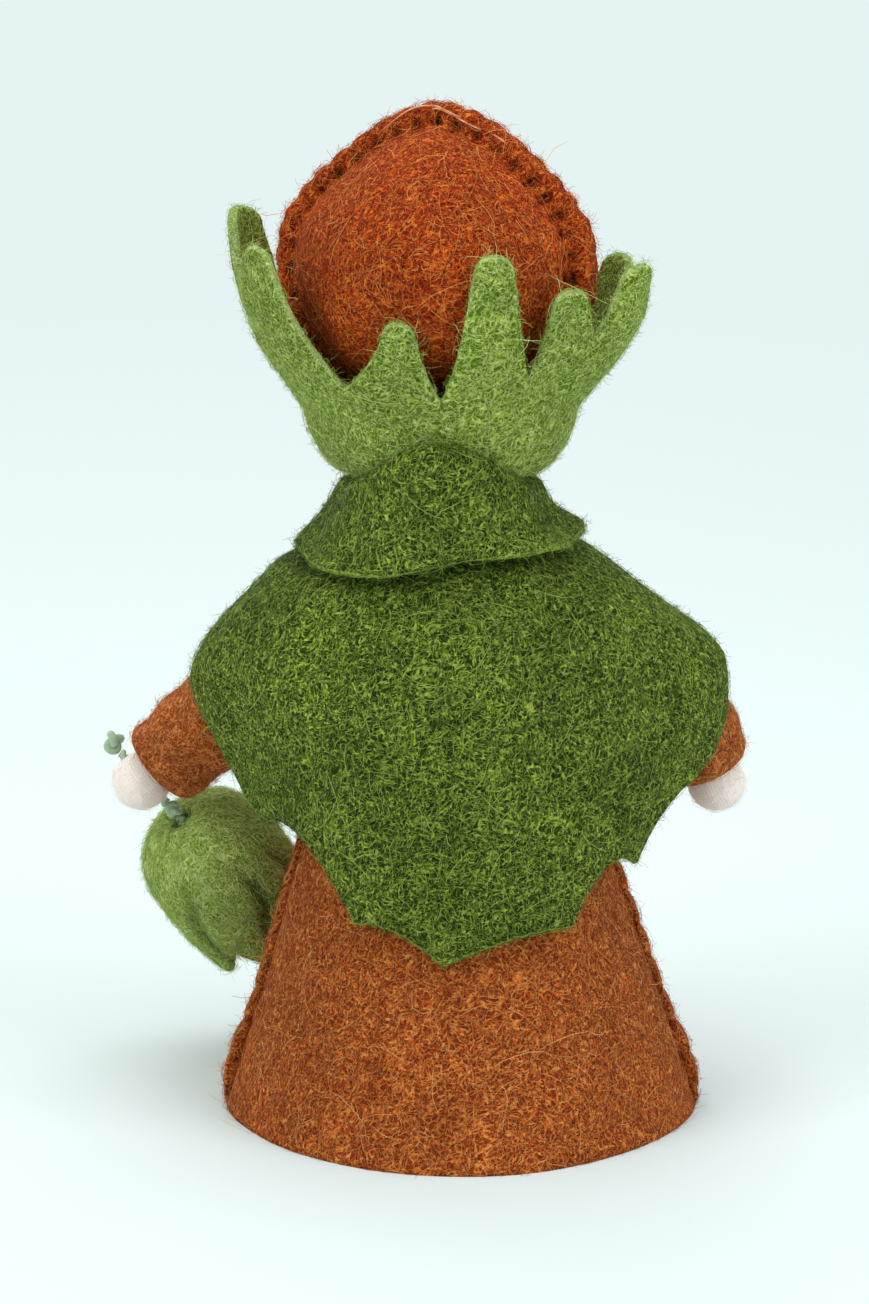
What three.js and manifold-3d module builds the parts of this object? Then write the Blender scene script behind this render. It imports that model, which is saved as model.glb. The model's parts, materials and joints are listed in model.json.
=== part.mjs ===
// A standing felt fairy doll with a hazelnut hat, a leaf cape and a hazelnut hanging from its left hand.
// Millimetres, +Z up. The doll faces -Y and its left hand is on the +X side.
import * as THREE from "three";
import { mergeVertices } from "three/addons/utils/BufferGeometryUtils.js";
import Module from "manifold-3d";

const wasm = await Module();
wasm.setup();

// Cloth, yarn and the room left between pieces
const FELT = 1.1;
const SLEEVE_FELT = 1.0;
const JERSEY = 0.6;
const YARN_RADIUS = 0.55;
const THREAD_RADIUS = 0.25;
const EASE = 0.3;

// Dress: a flattened cone of a back and a front panel, sewn together down both sides
const HEM_WIDTH = 48;
const HEM_DEPTH = 45;
const DRESS_HEIGHT = 58.8;
const DRESS_TOP_WIDTH = 11.2;
const DRESS_TOP_DEPTH = 10.6;
const SEAM_LIP = 1.2;
const DRESS_FULLNESS = 1.2;
const DRESS_CURVE = 1.02;
// The body leans a little to its left: sideways shift at the top of the dress
const LEAN = 2.2;

// Wire stems wound with chenille
const STEM_RADIUS = 1.0;
const SPINE_FOOT = 34;
const TORSO_FOOT = 37;

// Arms: shoulder pivots and hand centres
const SHOULDER_HEIGHT = 50.5;
const LEFT_SHOULDER_X = 9.6;
const RIGHT_SHOULDER_X = -5.8;
const LEFT_ELBOW = new THREE.Vector3(21.2, -5.8, 40.2);
const RIGHT_ELBOW = new THREE.Vector3(-21.0, -5.3, 38.9);
const LEFT_HAND = new THREE.Vector3(31.8, -8.5, 30.5);
const RIGHT_HAND = new THREE.Vector3(-25.4, -7.9, 30.6);
const SLEEVE_RADIUS = 4.9;
const CUFF_RADIUS = 4.4;
const SHOULDER_RADIUS = 3.9;
const ARMHOLE_RADIUS = SHOULDER_RADIUS + 0.7;
const HAND_RADIUS = 2.85;
const CUFF_SETBACK = 3.6;
const WRIST_LENGTH = 6;

// Head and neck
const NECK_X = 2.0;
const NECK_Y = -0.5;
const HEAD_HEIGHT = 83.9;
const HEAD_RADIUS = 11.2;
const NECK_RADIUS = 3.2;
const HEAD_TURN = 14;
const HEAD_TILT = 8;

// Hat: a round domed back panel sewn to a band that runs forward over the head
const HAT_RADIUS = HEAD_RADIUS + 2.1;
const HAT_LIP = 2.1;
const HAT_SEAM_Y = 2.2;
const HAT_BULGE = 11.0;
const HAT_BAND_DEPTH = 11.6;
const HAT_BRIM_RADIUS = HAT_RADIUS - 1.2;

// Husk that stands round the hat
const CUP_BOTTOM = 64.4;
const CUP_RADIUS = 12.9;
const CUP_RISE = 6.4;
const HUSK_EASE = 1.0;
// Where the side of a lobe bends: share of the way from the notch, along and up
const LOBE_WAIST = 0.6;
const LOBE_WAIST_HEIGHT = 0.42;

// Cape
const CAPE_Y = -0.5;
const TIE_RADIUS = 8.2;
const TIE_HEIGHT = 60.65;

// Hazelnut on its yarn
const KNOT_RADIUS = 1.0;
const END_KNOT_RADIUS = 1.25;
const HANGING_KNOT = new THREE.Vector3(28.75, -9.9, 27.2);
const END_KNOT = new THREE.Vector3(34.6, -10.5, 34.0);
const NUT_LEAN = 30;
const NUT_LEAN_FORWARD = 26;
const NUT_RADIUS = 5.6;
const NUT_DROP = 8.6;

const turn = THREE.MathUtils.degToRad;
const mix = THREE.MathUtils.lerp;
const at = (x, y, z) => new THREE.Vector3(x, y, z);
const lean = (z) => LEAN * Math.min(z / DRESS_HEIGHT, 1) ** 1.5;

// Shapes

// Turns the faces of a closed geometry outwards
function facedOut(geometry) {
  const flat = geometry.index ? geometry.toNonIndexed() : geometry.clone();
  flat.deleteAttribute("normal");
  flat.deleteAttribute("uv");
  const merged = mergeVertices(flat, 1e-4);
  const points = merged.getAttribute("position");
  const faces = [];
  for (let i = 0; i < merged.index.count; i += 3) {
    const corners = Array.from(merged.index.array.slice(i, i + 3));
    if (new Set(corners).size === 3) faces.push(...corners);
  }
  const a = at(0, 0, 0);
  const b = at(0, 0, 0);
  const c = at(0, 0, 0);
  let volume = 0;
  for (let i = 0; i < faces.length; i += 3) {
    a.fromBufferAttribute(points, faces[i]);
    b.fromBufferAttribute(points, faces[i + 1]);
    c.fromBufferAttribute(points, faces[i + 2]);
    volume += a.dot(b.cross(c));
  }
  if (volume < 0) {
    for (let i = 0; i < faces.length; i += 3) {
      [faces[i + 1], faces[i + 2]] = [faces[i + 2], faces[i + 1]];
    }
  }
  merged.setIndex(faces);
  return merged;
}

function fromPoints(points, faces) {
  const numbers = points.flatMap((p) => [p.x, p.y, p.z]);
  const geometry = new THREE.BufferGeometry();
  geometry.setAttribute("position", new THREE.Float32BufferAttribute(numbers, 3));
  geometry.setIndex(faces);
  return facedOut(geometry);
}

// One closed shell between an outside and an inside grid of points. A ring closes on itself.
function shell(outside, inside, ring) {
  const rows = outside.length;
  const columns = outside[0].length;
  const last = columns - 1;
  const index = (side, i, j) => (side * rows + (i % rows)) * columns + j;
  const faces = [];
  const quad = (a, b, c, d) => faces.push(a, b, c, a, c, d);
  for (let i = 0; i < (ring ? rows : rows - 1); i++) {
    for (let j = 0; j < last; j++) {
      quad(index(0, i, j), index(0, i + 1, j), index(0, i + 1, j + 1), index(0, i, j + 1));
      quad(index(1, i, j), index(1, i, j + 1), index(1, i + 1, j + 1), index(1, i + 1, j));
    }
    quad(index(0, i, 0), index(1, i, 0), index(1, i + 1, 0), index(0, i + 1, 0));
    quad(index(0, i, last), index(0, i + 1, last), index(1, i + 1, last), index(1, i, last));
  }
  const end = rows - 1;
  for (let j = 0; j < (ring ? 0 : last); j++) {
    quad(index(0, 0, j), index(0, 0, j + 1), index(1, 0, j + 1), index(1, 0, j));
    quad(index(0, end, j), index(1, end, j), index(1, end, j + 1), index(0, end, j + 1));
  }
  return fromPoints([...outside.flat(), ...inside.flat()], faces);
}

// A sheet of felt of even thickness on both sides of a grid of points.
// A level sheet is thickened sideways only, so that its lower edge stays flat.
function feltSheet(middle, thickness, { ring = false, level = false } = {}) {
  const rows = middle.length;
  const offset = (side) =>
    middle.map((row, i) =>
      row.map((point, j) => {
        const before = middle[ring ? (i + rows - 1) % rows : Math.max(i - 1, 0)][j];
        const after = middle[ring ? (i + 1) % rows : Math.min(i + 1, rows - 1)][j];
        const across = after.clone().sub(before);
        const along = row[Math.min(j + 1, row.length - 1)].clone().sub(row[Math.max(j - 1, 0)]);
        const normal = across.cross(along);
        if (level) normal.z = 0;
        return point.clone().addScaledVector(normal.normalize(), (side * thickness) / 2);
      }),
    );
  return shell(offset(1), offset(-1), ring);
}

// A solid turned about the Y axis from [radius, y] points
function turned(profile, segments = 24) {
  const points = profile.map(([radius, y]) => new THREE.Vector2(radius, y));
  return facedOut(new THREE.LatheGeometry(points, segments));
}

// A wall of even thickness turned about the Y axis, from the points along its middle
function turnedWall(middle, thickness, segments) {
  const side = (way) =>
    middle.map(([radius, y], i) => {
      const [r0, y0] = middle[Math.max(i - 1, 0)];
      const [r1, y1] = middle[Math.min(i + 1, middle.length - 1)];
      const length = Math.hypot(r1 - r0, y1 - y0);
      const half = (way * thickness) / 2;
      const out = radius > 0 ? radius + (half * (y1 - y0)) / length : 0;
      return [out, y - (half * (r1 - r0)) / length];
    });
  const outer = side(1);
  const inner = side(-1).reverse();
  const closes = middle[0][0] > 0 ? [outer[0]] : [];
  return turned([...outer, ...inner, ...closes], segments);
}

// A solid swept round a curve, from [radius, distance along the curve] points
function swept(curve, profile, segments = 20) {
  const length = curve.getLength();
  const section = profile.map(([radius, distance]) => {
    const share = THREE.MathUtils.clamp(distance / length, 0, 1);
    const forward = curve.getTangentAt(share);
    const centre = curve.getPointAt(share).addScaledVector(forward, distance - share * length);
    const side = at(0, 0, 1).addScaledVector(forward, -forward.z).normalize();
    return { radius, centre, side, other: forward.clone().cross(side) };
  });
  const ring = Array.from({ length: segments }, (unused, i) => (2 * Math.PI * i) / segments);
  const points = section.flatMap(({ radius, centre, side, other }) =>
    ring.map((angle) =>
      centre
        .clone()
        .addScaledVector(side, radius * Math.cos(angle))
        .addScaledVector(other, radius * Math.sin(angle)),
    ),
  );
  const faces = [];
  for (let i = 0; i < section.length - 1; i++) {
    for (let j = 0; j < segments; j++) {
      const next = (j + 1) % segments;
      const a = i * segments;
      const b = a + segments;
      faces.push(a + j, a + next, b + next, a + j, b + next, b + j);
    }
  }
  return fromPoints(points, faces);
}

// A round cord along a smooth curve
function cord(points, radius, steps, sides = 8) {
  const section = new THREE.Shape(
    Array.from({ length: sides }, (unused, i) => {
      const angle = (2 * Math.PI * i) / sides;
      return new THREE.Vector2(radius * Math.cos(angle), radius * Math.sin(angle));
    }),
  );
  const path = new THREE.CatmullRomCurve3(points);
  return facedOut(new THREE.ExtrudeGeometry(section, { steps, extrudePath: path }));
}

// A tied knot: a ball with the ridges of the yarn that winds round it
function knot(radius) {
  const ball = new THREE.SphereGeometry(radius, 14, 10);
  const points = ball.getAttribute("position");
  const point = at(0, 0, 0);
  for (let i = 0; i < points.count; i++) {
    point.fromBufferAttribute(points, i);
    const around = Math.atan2(point.x, point.z);
    const height = point.y / radius;
    const ridge = 0.1 * Math.sin(3 * around + 5 * height) * (1 - height * height);
    point.multiplyScalar(1 + ridge);
    points.setXYZ(i, point.x, point.y, point.z);
  }
  return facedOut(ball);
}

function solidOf(geometry) {
  const { array } = geometry.getAttribute("position");
  const triVerts = new Uint32Array(geometry.index.array);
  return new wasm.Manifold(new wasm.Mesh({ numProp: 3, vertProperties: array, triVerts }));
}

function geometryOf(solid) {
  const mesh = solid.getMesh();
  const points = [];
  for (let i = 0; i < mesh.numVert; i++) {
    points.push(at(...mesh.vertProperties.subarray(i * mesh.numProp, i * mesh.numProp + 3)));
  }
  return fromPoints(points, Array.from(mesh.triVerts));
}

const cut = (geometry, ...tools) =>
  geometryOf(tools.reduce((left, tool) => left.subtract(solidOf(tool)), solidOf(geometry)));

// A value read between named stops [position, value]
function between(stops, position) {
  const found = stops.findIndex(([stop]) => stop >= position);
  const next = found < 0 ? stops.length - 1 : Math.max(found, 1);
  const [start, low] = stops[next - 1];
  const [end, high] = stops[next];
  const share = THREE.MathUtils.clamp((position - start) / (end - start), 0, 1);
  return mix(low, high, share);
}

// Materials

const felt = (color) => new THREE.MeshStandardMaterial({ color, roughness: 0.95, metalness: 0 });
const rustFelt = felt(0xa05428);
const sleeveFelt = felt(0xb5522a);
const hatFelt = felt(0xa8451c);
const capeFelt = felt(0x4f7a26);
const huskFelt = felt(0x83ac4e);
const nutHuskFelt = felt(0x7c9f4b);
const nutFelt = felt(0x9a5a2c);
const jerseyKnit = felt(0xe6cfc3);
const wool = felt(0xefe8da);
const hairWool = felt(0x8a5a33);
const sageYarn = felt(0x8faf83);
const paleThread = felt(0xe8d3cc);
const greenThread = felt(0x47691f);
const browEye = felt(0x4a3226);
const mouthThread = felt(0xb8604f);
const chenille = new THREE.MeshStandardMaterial({ color: 0xdcd3c4, roughness: 0.8, metalness: 0.1 });

const doll = new THREE.Group();
function add(name, geometry, material, parent = doll) {
  const mesh = new THREE.Mesh(geometry, material);
  mesh.name = name;
  parent.add(mesh);
  return mesh;
}

// Dress

const dressTaper = (z) => (1 - z / DRESS_HEIGHT) ** DRESS_CURVE;
const dressHalfWidth = (z) => mix(DRESS_TOP_WIDTH, HEM_WIDTH, dressTaper(z)) / 2;
const dressHalfDepth = (z) => mix(DRESS_TOP_DEPTH, HEM_DEPTH, dressTaper(z)) / 2;
const LIP_Y = (FELT + EASE) / 2;

// Middle of a panel at height z. The angle runs from -90 to 90 degrees between the side seams.
function dressPoint(angle, z, side, inset = 0) {
  const width = dressHalfWidth(z) - SEAM_LIP - inset;
  const depth = dressHalfDepth(z) - FELT / 2 - LIP_Y - inset;
  const y = LIP_Y + depth * Math.cos(turn(angle)) ** DRESS_FULLNESS;
  return at(lean(z) + width * Math.sin(turn(angle)), side * y, z);
}

function dressPanel(side) {
  const heights = Array.from({ length: 8 }, (unused, i) => (DRESS_HEIGHT * i) / 7);
  const seam = (way) =>
    heights.map((z) => at(lean(z) + way * dressHalfWidth(z), side * LIP_Y, z));
  const rows = [seam(-1)];
  for (let angle = -90; angle <= 90; angle += 10) {
    rows.push(heights.map((z) => dressPoint(angle, z, side)));
  }
  rows.push(seam(1));
  return feltSheet(rows, FELT, { level: true });
}

// Each arm follows a curve from the shoulder pivot past the elbow to the middle of the hand
const leftShoulder = at(LEFT_SHOULDER_X, 0, SHOULDER_HEIGHT);
const rightShoulder = at(RIGHT_SHOULDER_X, 0, SHOULDER_HEIGHT);
const leftArm = new THREE.CatmullRomCurve3([leftShoulder, LEFT_ELBOW, LEFT_HAND]);
const rightArm = new THREE.CatmullRomCurve3([rightShoulder, RIGHT_ELBOW, RIGHT_HAND]);

// The room that an arm needs where it leaves the dress
function armhole(arm) {
  const reach = 9;
  const depth = 3.4;
  const round = ARMHOLE_RADIUS;
  return swept(arm, [[0, -depth - 1], [round * 0.7, -depth], [round, -1], [round, reach], [0, reach]]);
}

const armholes = [armhole(leftArm), armhole(rightArm)];
add("dress_back_panel", cut(dressPanel(1), ...armholes), rustFelt);
add("dress_front_panel", cut(dressPanel(-1), ...armholes), rustFelt);

// Stems and stuffing inside the dress

const neckTop = HEAD_HEIGHT - HEAD_RADIUS;
const SPINE_TOP = HEAD_HEIGHT - 8;
const spinePath = [
  at(lean(SPINE_FOOT), 0, SPINE_FOOT),
  at(NECK_X - 0.4, NECK_Y + 0.4, SHOULDER_HEIGHT),
  at(NECK_X, NECK_Y, DRESS_HEIGHT),
  at(NECK_X, NECK_Y, neckTop),
  at(NECK_X, NECK_Y, SPINE_TOP),
];
const crossY = NECK_Y - 2 * STEM_RADIUS - 2 * EASE;
const socket = SHOULDER_RADIUS + EASE;
const shoulderPath = [
  at(RIGHT_SHOULDER_X + socket, crossY / 2, SHOULDER_HEIGHT),
  at(NECK_X - 2, crossY, SHOULDER_HEIGHT),
  at(NECK_X + 1, crossY, SHOULDER_HEIGHT),
  at(LEFT_SHOULDER_X - socket, crossY / 2, SHOULDER_HEIGHT),
];
add("spine_stem", cord(spinePath, STEM_RADIUS, 24), chenille);
add("shoulder_stem", cord(shoulderPath, STEM_RADIUS, 14), chenille);

// Wool wadding that fills the upper part of the dress and closes round the stems
function torso() {
  const inset = FELT / 2 + 2 * EASE;
  const top = DRESS_HEIGHT - 2;
  const rows = [];
  for (let angle = 0; angle < 360; angle += 18) {
    const column = [];
    for (let step = 0; step <= 5; step++) {
      const z = mix(TORSO_FOOT, top, step / 5);
      const width = dressHalfWidth(z) - SEAM_LIP - 2.2 * inset;
      const depth = dressHalfDepth(z) - FELT / 2 - inset;
      const swell = Math.abs(Math.cos(turn(angle))) ** DRESS_FULLNESS * Math.sign(Math.cos(turn(angle)));
      column.push(at(lean(z) + width * Math.sin(turn(angle)), depth * swell, z));
    }
    rows.push(column);
  }
  return closedLoft(rows);
}

// A solid from columns of points that stand in a ring, closed flat at both ends
function closedLoft(columns) {
  const steps = columns[0].length;
  const points = columns.flat();
  const faces = [];
  const count = columns.length;
  const index = (i, j) => (i % count) * steps + j;
  const ends = [0, steps - 1].map((j) => {
    const centre = at(0, 0, 0);
    columns.forEach((column) => centre.addScaledVector(column[j], 1 / count));
    return points.push(centre) - 1;
  });
  for (let i = 0; i < count; i++) {
    for (let j = 0; j < steps - 1; j++) {
      faces.push(index(i, j), index(i + 1, j), index(i + 1, j + 1));
      faces.push(index(i, j), index(i + 1, j + 1), index(i, j + 1));
    }
    faces.push(index(i + 1, 0), index(i, 0), ends[0]);
    faces.push(index(i, steps - 1), index(i + 1, steps - 1), ends[1]);
  }
  return fromPoints(points, faces);
}

const stemRoom = STEM_RADIUS + EASE;
const longer = (path) => {
  const first = path[0].clone().sub(path[1]).setLength(4).add(path[0]);
  const last = path.at(-1).clone().sub(path.at(-2)).setLength(4).add(path.at(-1));
  return [first, ...path, last];
};
const stemChannels = [cord(longer(spinePath), stemRoom, 24), cord(longer(shoulderPath), stemRoom, 16)];
add("torso_stuffing", cut(torso(), ...armholes, ...stemChannels), wool);

// Sleeve, wire arm, hand and wrist thread of one side
function makeArm(side, arm) {
  const reach = arm.getLength();
  const cuff = reach - CUFF_SETBACK;
  const outside = [
    [SHOULDER_RADIUS - 0.9, -2.4],
    [SHOULDER_RADIUS - 0.15, -1.1],
    [SHOULDER_RADIUS, 0.6],
    [SHOULDER_RADIUS, 6],
    [SHOULDER_RADIUS + 0.3, 8.5],
    [SLEEVE_RADIUS, 13],
    [SLEEVE_RADIUS, cuff - 9],
    [SLEEVE_RADIUS - 0.2, cuff - 4],
    [CUFF_RADIUS, cuff],
  ];
  const inside = outside.slice(3).map(([radius, distance]) => [radius - SLEEVE_FELT, distance]);
  const sleeve = [[stemRoom, -2.4], ...outside, ...inside.reverse(), [stemRoom, 4], [stemRoom, -2.4]];
  add(side + "_sleeve", swept(arm, sleeve), sleeveFelt);

  const wrist = STEM_RADIUS + EASE + JERSEY;
  const wristStart = Math.acos(wrist / HAND_RADIUS);
  const palm = [[0, reach + HAND_RADIUS]];
  for (let step = 1; step <= 8; step++) {
    const angle = mix(Math.PI / 2, -wristStart, step / 8);
    palm.push([HAND_RADIUS * Math.cos(angle), reach + HAND_RADIUS * Math.sin(angle)]);
  }
  const wristEnd = reach - HAND_RADIUS - WRIST_LENGTH;
  const fingertip = reach - 1.4;
  palm.push([wrist, wristEnd + WRIST_LENGTH / 2], [wrist, wristEnd], [stemRoom, wristEnd]);
  palm.push([stemRoom, wristEnd + WRIST_LENGTH / 2], [stemRoom, fingertip], [0, fingertip]);
  const handPiece = add(side + "_hand", swept(arm, palm, 18), jerseyKnit);

  const stem = [[0, -2.2]];
  for (let step = 0; step <= 8; step++) stem.push([STEM_RADIUS, mix(-2.2, fingertip - EASE, step / 8)]);
  stem.push([0, fingertip - EASE]);
  add(side + "_arm_stem", swept(arm, stem, 10), chenille);

  const threadAt = reach - HAND_RADIUS - 1.6;
  const thread = [];
  for (let angle = 0; angle <= 360; angle += 72) {
    const radius = wrist + THREAD_RADIUS + EASE + THREAD_RADIUS * Math.cos(turn(angle));
    thread.push([radius, threadAt + THREAD_RADIUS * Math.sin(turn(angle))]);
  }
  add(side + "_wrist_thread", swept(arm, thread, 16), paleThread);
  return handPiece;
}

const leftHand = makeArm("left", leftArm);
makeArm("right", rightArm);

// Yarn through the left hand, with a knot at its end and a knot that carries the hazelnut

const yarnStart = END_KNOT.clone().lerp(LEFT_HAND, (END_KNOT_RADIUS + EASE) / END_KNOT.distanceTo(LEFT_HAND));
const knotGap = (KNOT_RADIUS + EASE) / HANGING_KNOT.distanceTo(LEFT_HAND);
const yarnEnd = HANGING_KNOT.clone().lerp(LEFT_HAND, knotGap);
const yarnPath = [yarnStart, LEFT_HAND, yarnEnd];
add("yarn_through_hand", cord(yarnPath, YARN_RADIUS, 10), sageYarn);
const yarnRoom = cord(longer(yarnPath), YARN_RADIUS + EASE, 12);
leftHand.geometry = cut(leftHand.geometry, yarnRoom);
add("yarn_end_knot", knot(END_KNOT_RADIUS * 0.92), sageYarn).position.copy(END_KNOT);
add("hanging_knot", knot(KNOT_RADIUS * 0.92), sageYarn).position.copy(HANGING_KNOT);

// Hazelnut: modelled hanging down -Y from the knot, then leaned

const nutFrame = new THREE.Group();
nutFrame.position.copy(HANGING_KNOT);
nutFrame.rotation.set(Math.PI / 2 - turn(NUT_LEAN_FORWARD), 0, 0);
nutFrame.rotateZ(-turn(NUT_LEAN));
doll.add(nutFrame);

const huskInner = NUT_RADIUS + EASE;
const nutHuskMiddle = huskInner + FELT / 2;

// Half-profile of the husk, as [radius, drop below the knot]
const nutHuskProfile = [
  [YARN_RADIUS + EASE + FELT / 2, 1.75],
  [nutHuskMiddle * 0.46, 2.0],
  [nutHuskMiddle * 0.8, 3.6],
  [nutHuskMiddle * 0.98, 6.2],
  [nutHuskMiddle * 1.03, 9.0],
  [nutHuskMiddle * 0.99, 12.0],
  [nutHuskMiddle * 0.92, 15.0],
  [nutHuskMiddle * 0.86, 19.0],
];
// Jagged lower edge: lobe tips and notches, as [angle, drop below the knot]
const nutHuskEdge = [
  [0, 17.6], [16, 17.2], [27, 14.9], [39, 18.3], [53, 18.0], [72, 14.6], [92, 16.8], [108, 16.6],
  [124, 14.2], [146, 17.8], [163, 17.4], [178, 14.8], [197, 17.0], [213, 17.3], [229, 14.4], [250, 18.2],
  [266, 17.8], [283, 14.6], [302, 17.2], [318, 17.0], [336, 14.7], [350, 17.4], [360, 17.6],
];

function followProfile(profile, drop) {
  return between(profile.map(([radius, fall]) => [fall, radius]), drop);
}

function nutHusk() {
  const rows = [];
  for (let angle = 0; angle < 360; angle += 9) {
    const edge = between(nutHuskEdge, angle);
    const column = [];
    for (let step = 0; step <= 8; step++) {
      const share = step / 8;
      const drop = mix(nutHuskProfile[0][1], edge, share ** 1.25);
      const radius = followProfile(nutHuskProfile, drop);
      column.push(at(radius * Math.cos(turn(angle)), -drop, radius * Math.sin(turn(angle))));
    }
    rows.push(column);
  }
  return feltSheet(rows, FELT, { ring: true });
}
add("nut_husk", nutHusk(), nutHuskFelt, nutFrame);

// The nut: a little ball of stuffed felt, flatter on top and drawn to a point below
const nutProfile = [];
for (let step = 0; step <= 11; step++) {
  const angle = mix(90, -90, step / 11);
  const height = Math.sin(turn(angle));
  const point = height < 0 ? 1.0 + 0.12 * height ** 4 : 0.9;
  nutProfile.push([Math.cos(turn(angle)) * NUT_RADIUS, height * NUT_RADIUS * point - NUT_DROP]);
}
nutProfile[0][0] = 0;
nutProfile.at(-1)[0] = 0;
add("nut_ball", turned(nutProfile, 18), nutFelt, nutFrame);
const nutTop = -nutProfile[0][1];
const nutYarn = [at(0, -KNOT_RADIUS - EASE, 0), at(0, -nutTop + EASE, 0)];
add("nut_yarn", cord(nutYarn, YARN_RADIUS, 3), sageYarn, nutFrame);

// Head: jersey skin over a wool core, on the neck

const headFrame = new THREE.Group();
headFrame.position.set(NECK_X, NECK_Y, HEAD_HEIGHT);
headFrame.rotation.set(turn(HEAD_TILT), 0, -turn(HEAD_TURN), "ZXY");
headFrame.updateMatrix();
doll.add(headFrame);

const neckFoot = DRESS_HEIGHT - 1.4;

// Half-profile of a ball on a neck, as [radius, height above the head's centre]
function headProfile(radius, neck, foot) {
  const start = Math.asin(neck / radius) - Math.PI / 2;
  const profile = [[neck, foot - HEAD_HEIGHT]];
  for (let step = 0; step <= 12; step++) {
    const angle = mix(start, Math.PI / 2, step / 12);
    profile.push([radius * Math.cos(angle), radius * Math.sin(angle)]);
  }
  profile.at(-1)[0] = 0;
  return profile;
}

const upright = (geometry) => geometry.rotateX(Math.PI / 2).translate(NECK_X, NECK_Y, HEAD_HEIGHT);
const skinOutside = headProfile(HEAD_RADIUS, NECK_RADIUS, neckFoot);
const skinInside = headProfile(HEAD_RADIUS - JERSEY, NECK_RADIUS - JERSEY, neckFoot);
add("head_jersey", upright(turned([...skinOutside, ...skinInside.reverse(), skinOutside[0]], 24)), jerseyKnit);
const coreOutside = headProfile(HEAD_RADIUS - JERSEY - 1.4 * EASE, NECK_RADIUS - JERSEY - EASE, neckFoot + 2);
const boreTop = SPINE_TOP + EASE - HEAD_HEIGHT;
const core = [...coreOutside, [0, boreTop], [stemRoom, boreTop], [stemRoom, coreOutside[0][1]], coreOutside[0]];
add("head_wool_core", upright(turned(core, 20)), wool);

const ballUnderside = Math.sqrt(HEAD_RADIUS ** 2 - (NECK_RADIUS + 1) ** 2);
const neckThread = new THREE.TorusGeometry(NECK_RADIUS + THREAD_RADIUS + EASE, THREAD_RADIUS, 5, 20);
neckThread.translate(NECK_X, NECK_Y, HEAD_HEIGHT - ballUnderside - 1.2);
add("neck_thread", facedOut(neckThread), paleThread);

// Face: two stitched eyes and a stitched mouth, a plain doll's, on the front of the ball
function onFace(sideways, height, lift) {
  const radius = HEAD_RADIUS + lift;
  const forward = Math.sqrt(radius ** 2 - sideways ** 2 - height ** 2);
  return at(sideways, -forward, height);
}
const EYE_SPREAD = 3.9;
for (const [name, way] of [["left_eye", 1], ["right_eye", -1]]) {
  const eye = new THREE.SphereGeometry(0.7, 12, 8).scale(1, 0.45, 1);
  const placed = add(name, facedOut(eye), browEye, headFrame);
  placed.position.copy(onFace(way * EYE_SPREAD, 0.4, 0.6));
  placed.rotation.z = way * Math.asin(EYE_SPREAD / HEAD_RADIUS);
}
const mouthLine = [-1.5, -0.8, 0, 0.8, 1.5].map((x) => onFace(x, -4.8 + 0.22 * x * x, THREAD_RADIUS + EASE));
add("mouth", cord(mouthLine, THREAD_RADIUS, 10, 6), mouthThread, headFrame);

// Hair: a roll of wool over the brow, under the brim of the hat
function hair() {
  const rows = [];
  const steps = 20;
  for (let i = 0; i <= steps; i++) {
    const share = i / steps;
    const around = turn(mix(-118, 118, share));
    const thick = 1.25 * Math.sin(Math.PI * mix(0.12, 0.88, share)) ** 0.6 + 0.12 * Math.sin(around * 9);
    const out = HEAD_RADIUS + thick + EASE;
    const away = turn(43);
    const centre = at(out * Math.sin(away) * Math.sin(around), -out * Math.cos(away), out * Math.sin(away) * Math.cos(around));
    const radial = centre.clone().normalize();
    const ring = at(Math.cos(around), 0, -Math.sin(around));
    const across = radial.clone().cross(ring);
    const column = [];
    for (let j = 0; j < 8; j++) {
      const angle = turn(45 * j);
      const wide = 1.35;
      column.push(
        centre
          .clone()
          .addScaledVector(radial, thick * Math.cos(angle))
          .addScaledVector(across, thick * wide * Math.sin(angle)),
      );
    }
    rows.push(column);
  }
  const columns = Array.from({ length: 8 }, (unused, j) => rows.map((row) => row[j]));
  return closedLoft(columns);
}
add("hair_roll", hair(), hairWool, headFrame);

// Hat panels, turned about the line of sight and opened for the neck
const neckRoom = NECK_RADIUS + 1.6;
const neckOpening = turned([[0, -HEAD_RADIUS - 6], [neckRoom, -HEAD_RADIUS - 6], [neckRoom, -8], [0, -8]])
  .rotateX(Math.PI / 2)
  .translate(NECK_X, NECK_Y, HEAD_HEIGHT)
  .applyMatrix4(headFrame.matrix.clone().invert());

const backMiddle = [];
for (let step = 0; step <= 10; step++) {
  const angle = turn(mix(0, 86, step / 10));
  backMiddle.push([HAT_RADIUS * Math.sin(angle), HAT_SEAM_Y + LIP_Y + HAT_BULGE * Math.cos(angle)]);
}
backMiddle.push([HAT_RADIUS + HAT_LIP, HAT_SEAM_Y + LIP_Y]);
const frontMiddle = [[HAT_RADIUS + HAT_LIP, HAT_SEAM_Y - LIP_Y]];
for (let step = 0; step <= 5; step++) {
  const share = step / 5;
  const y = mix(HAT_SEAM_Y - LIP_Y - 0.5, HAT_SEAM_Y - HAT_BAND_DEPTH, share);
  frontMiddle.push([mix(HAT_RADIUS, HAT_BRIM_RADIUS, share ** 2), y]);
}
// The hat is drawn in beside its crown: share of the full radius, as [angle from the top, share]
const hatOutline = [
  [0, 0.995], [10, 0.965], [20, 0.935], [32, 0.905], [45, 0.9], [58, 0.93], [70, 0.965], [84, 0.995], [180, 1.0],
];
function hatShare(x, z) {
  return between(hatOutline, THREE.MathUtils.radToDeg(Math.abs(Math.atan2(x, z))));
}

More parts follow.
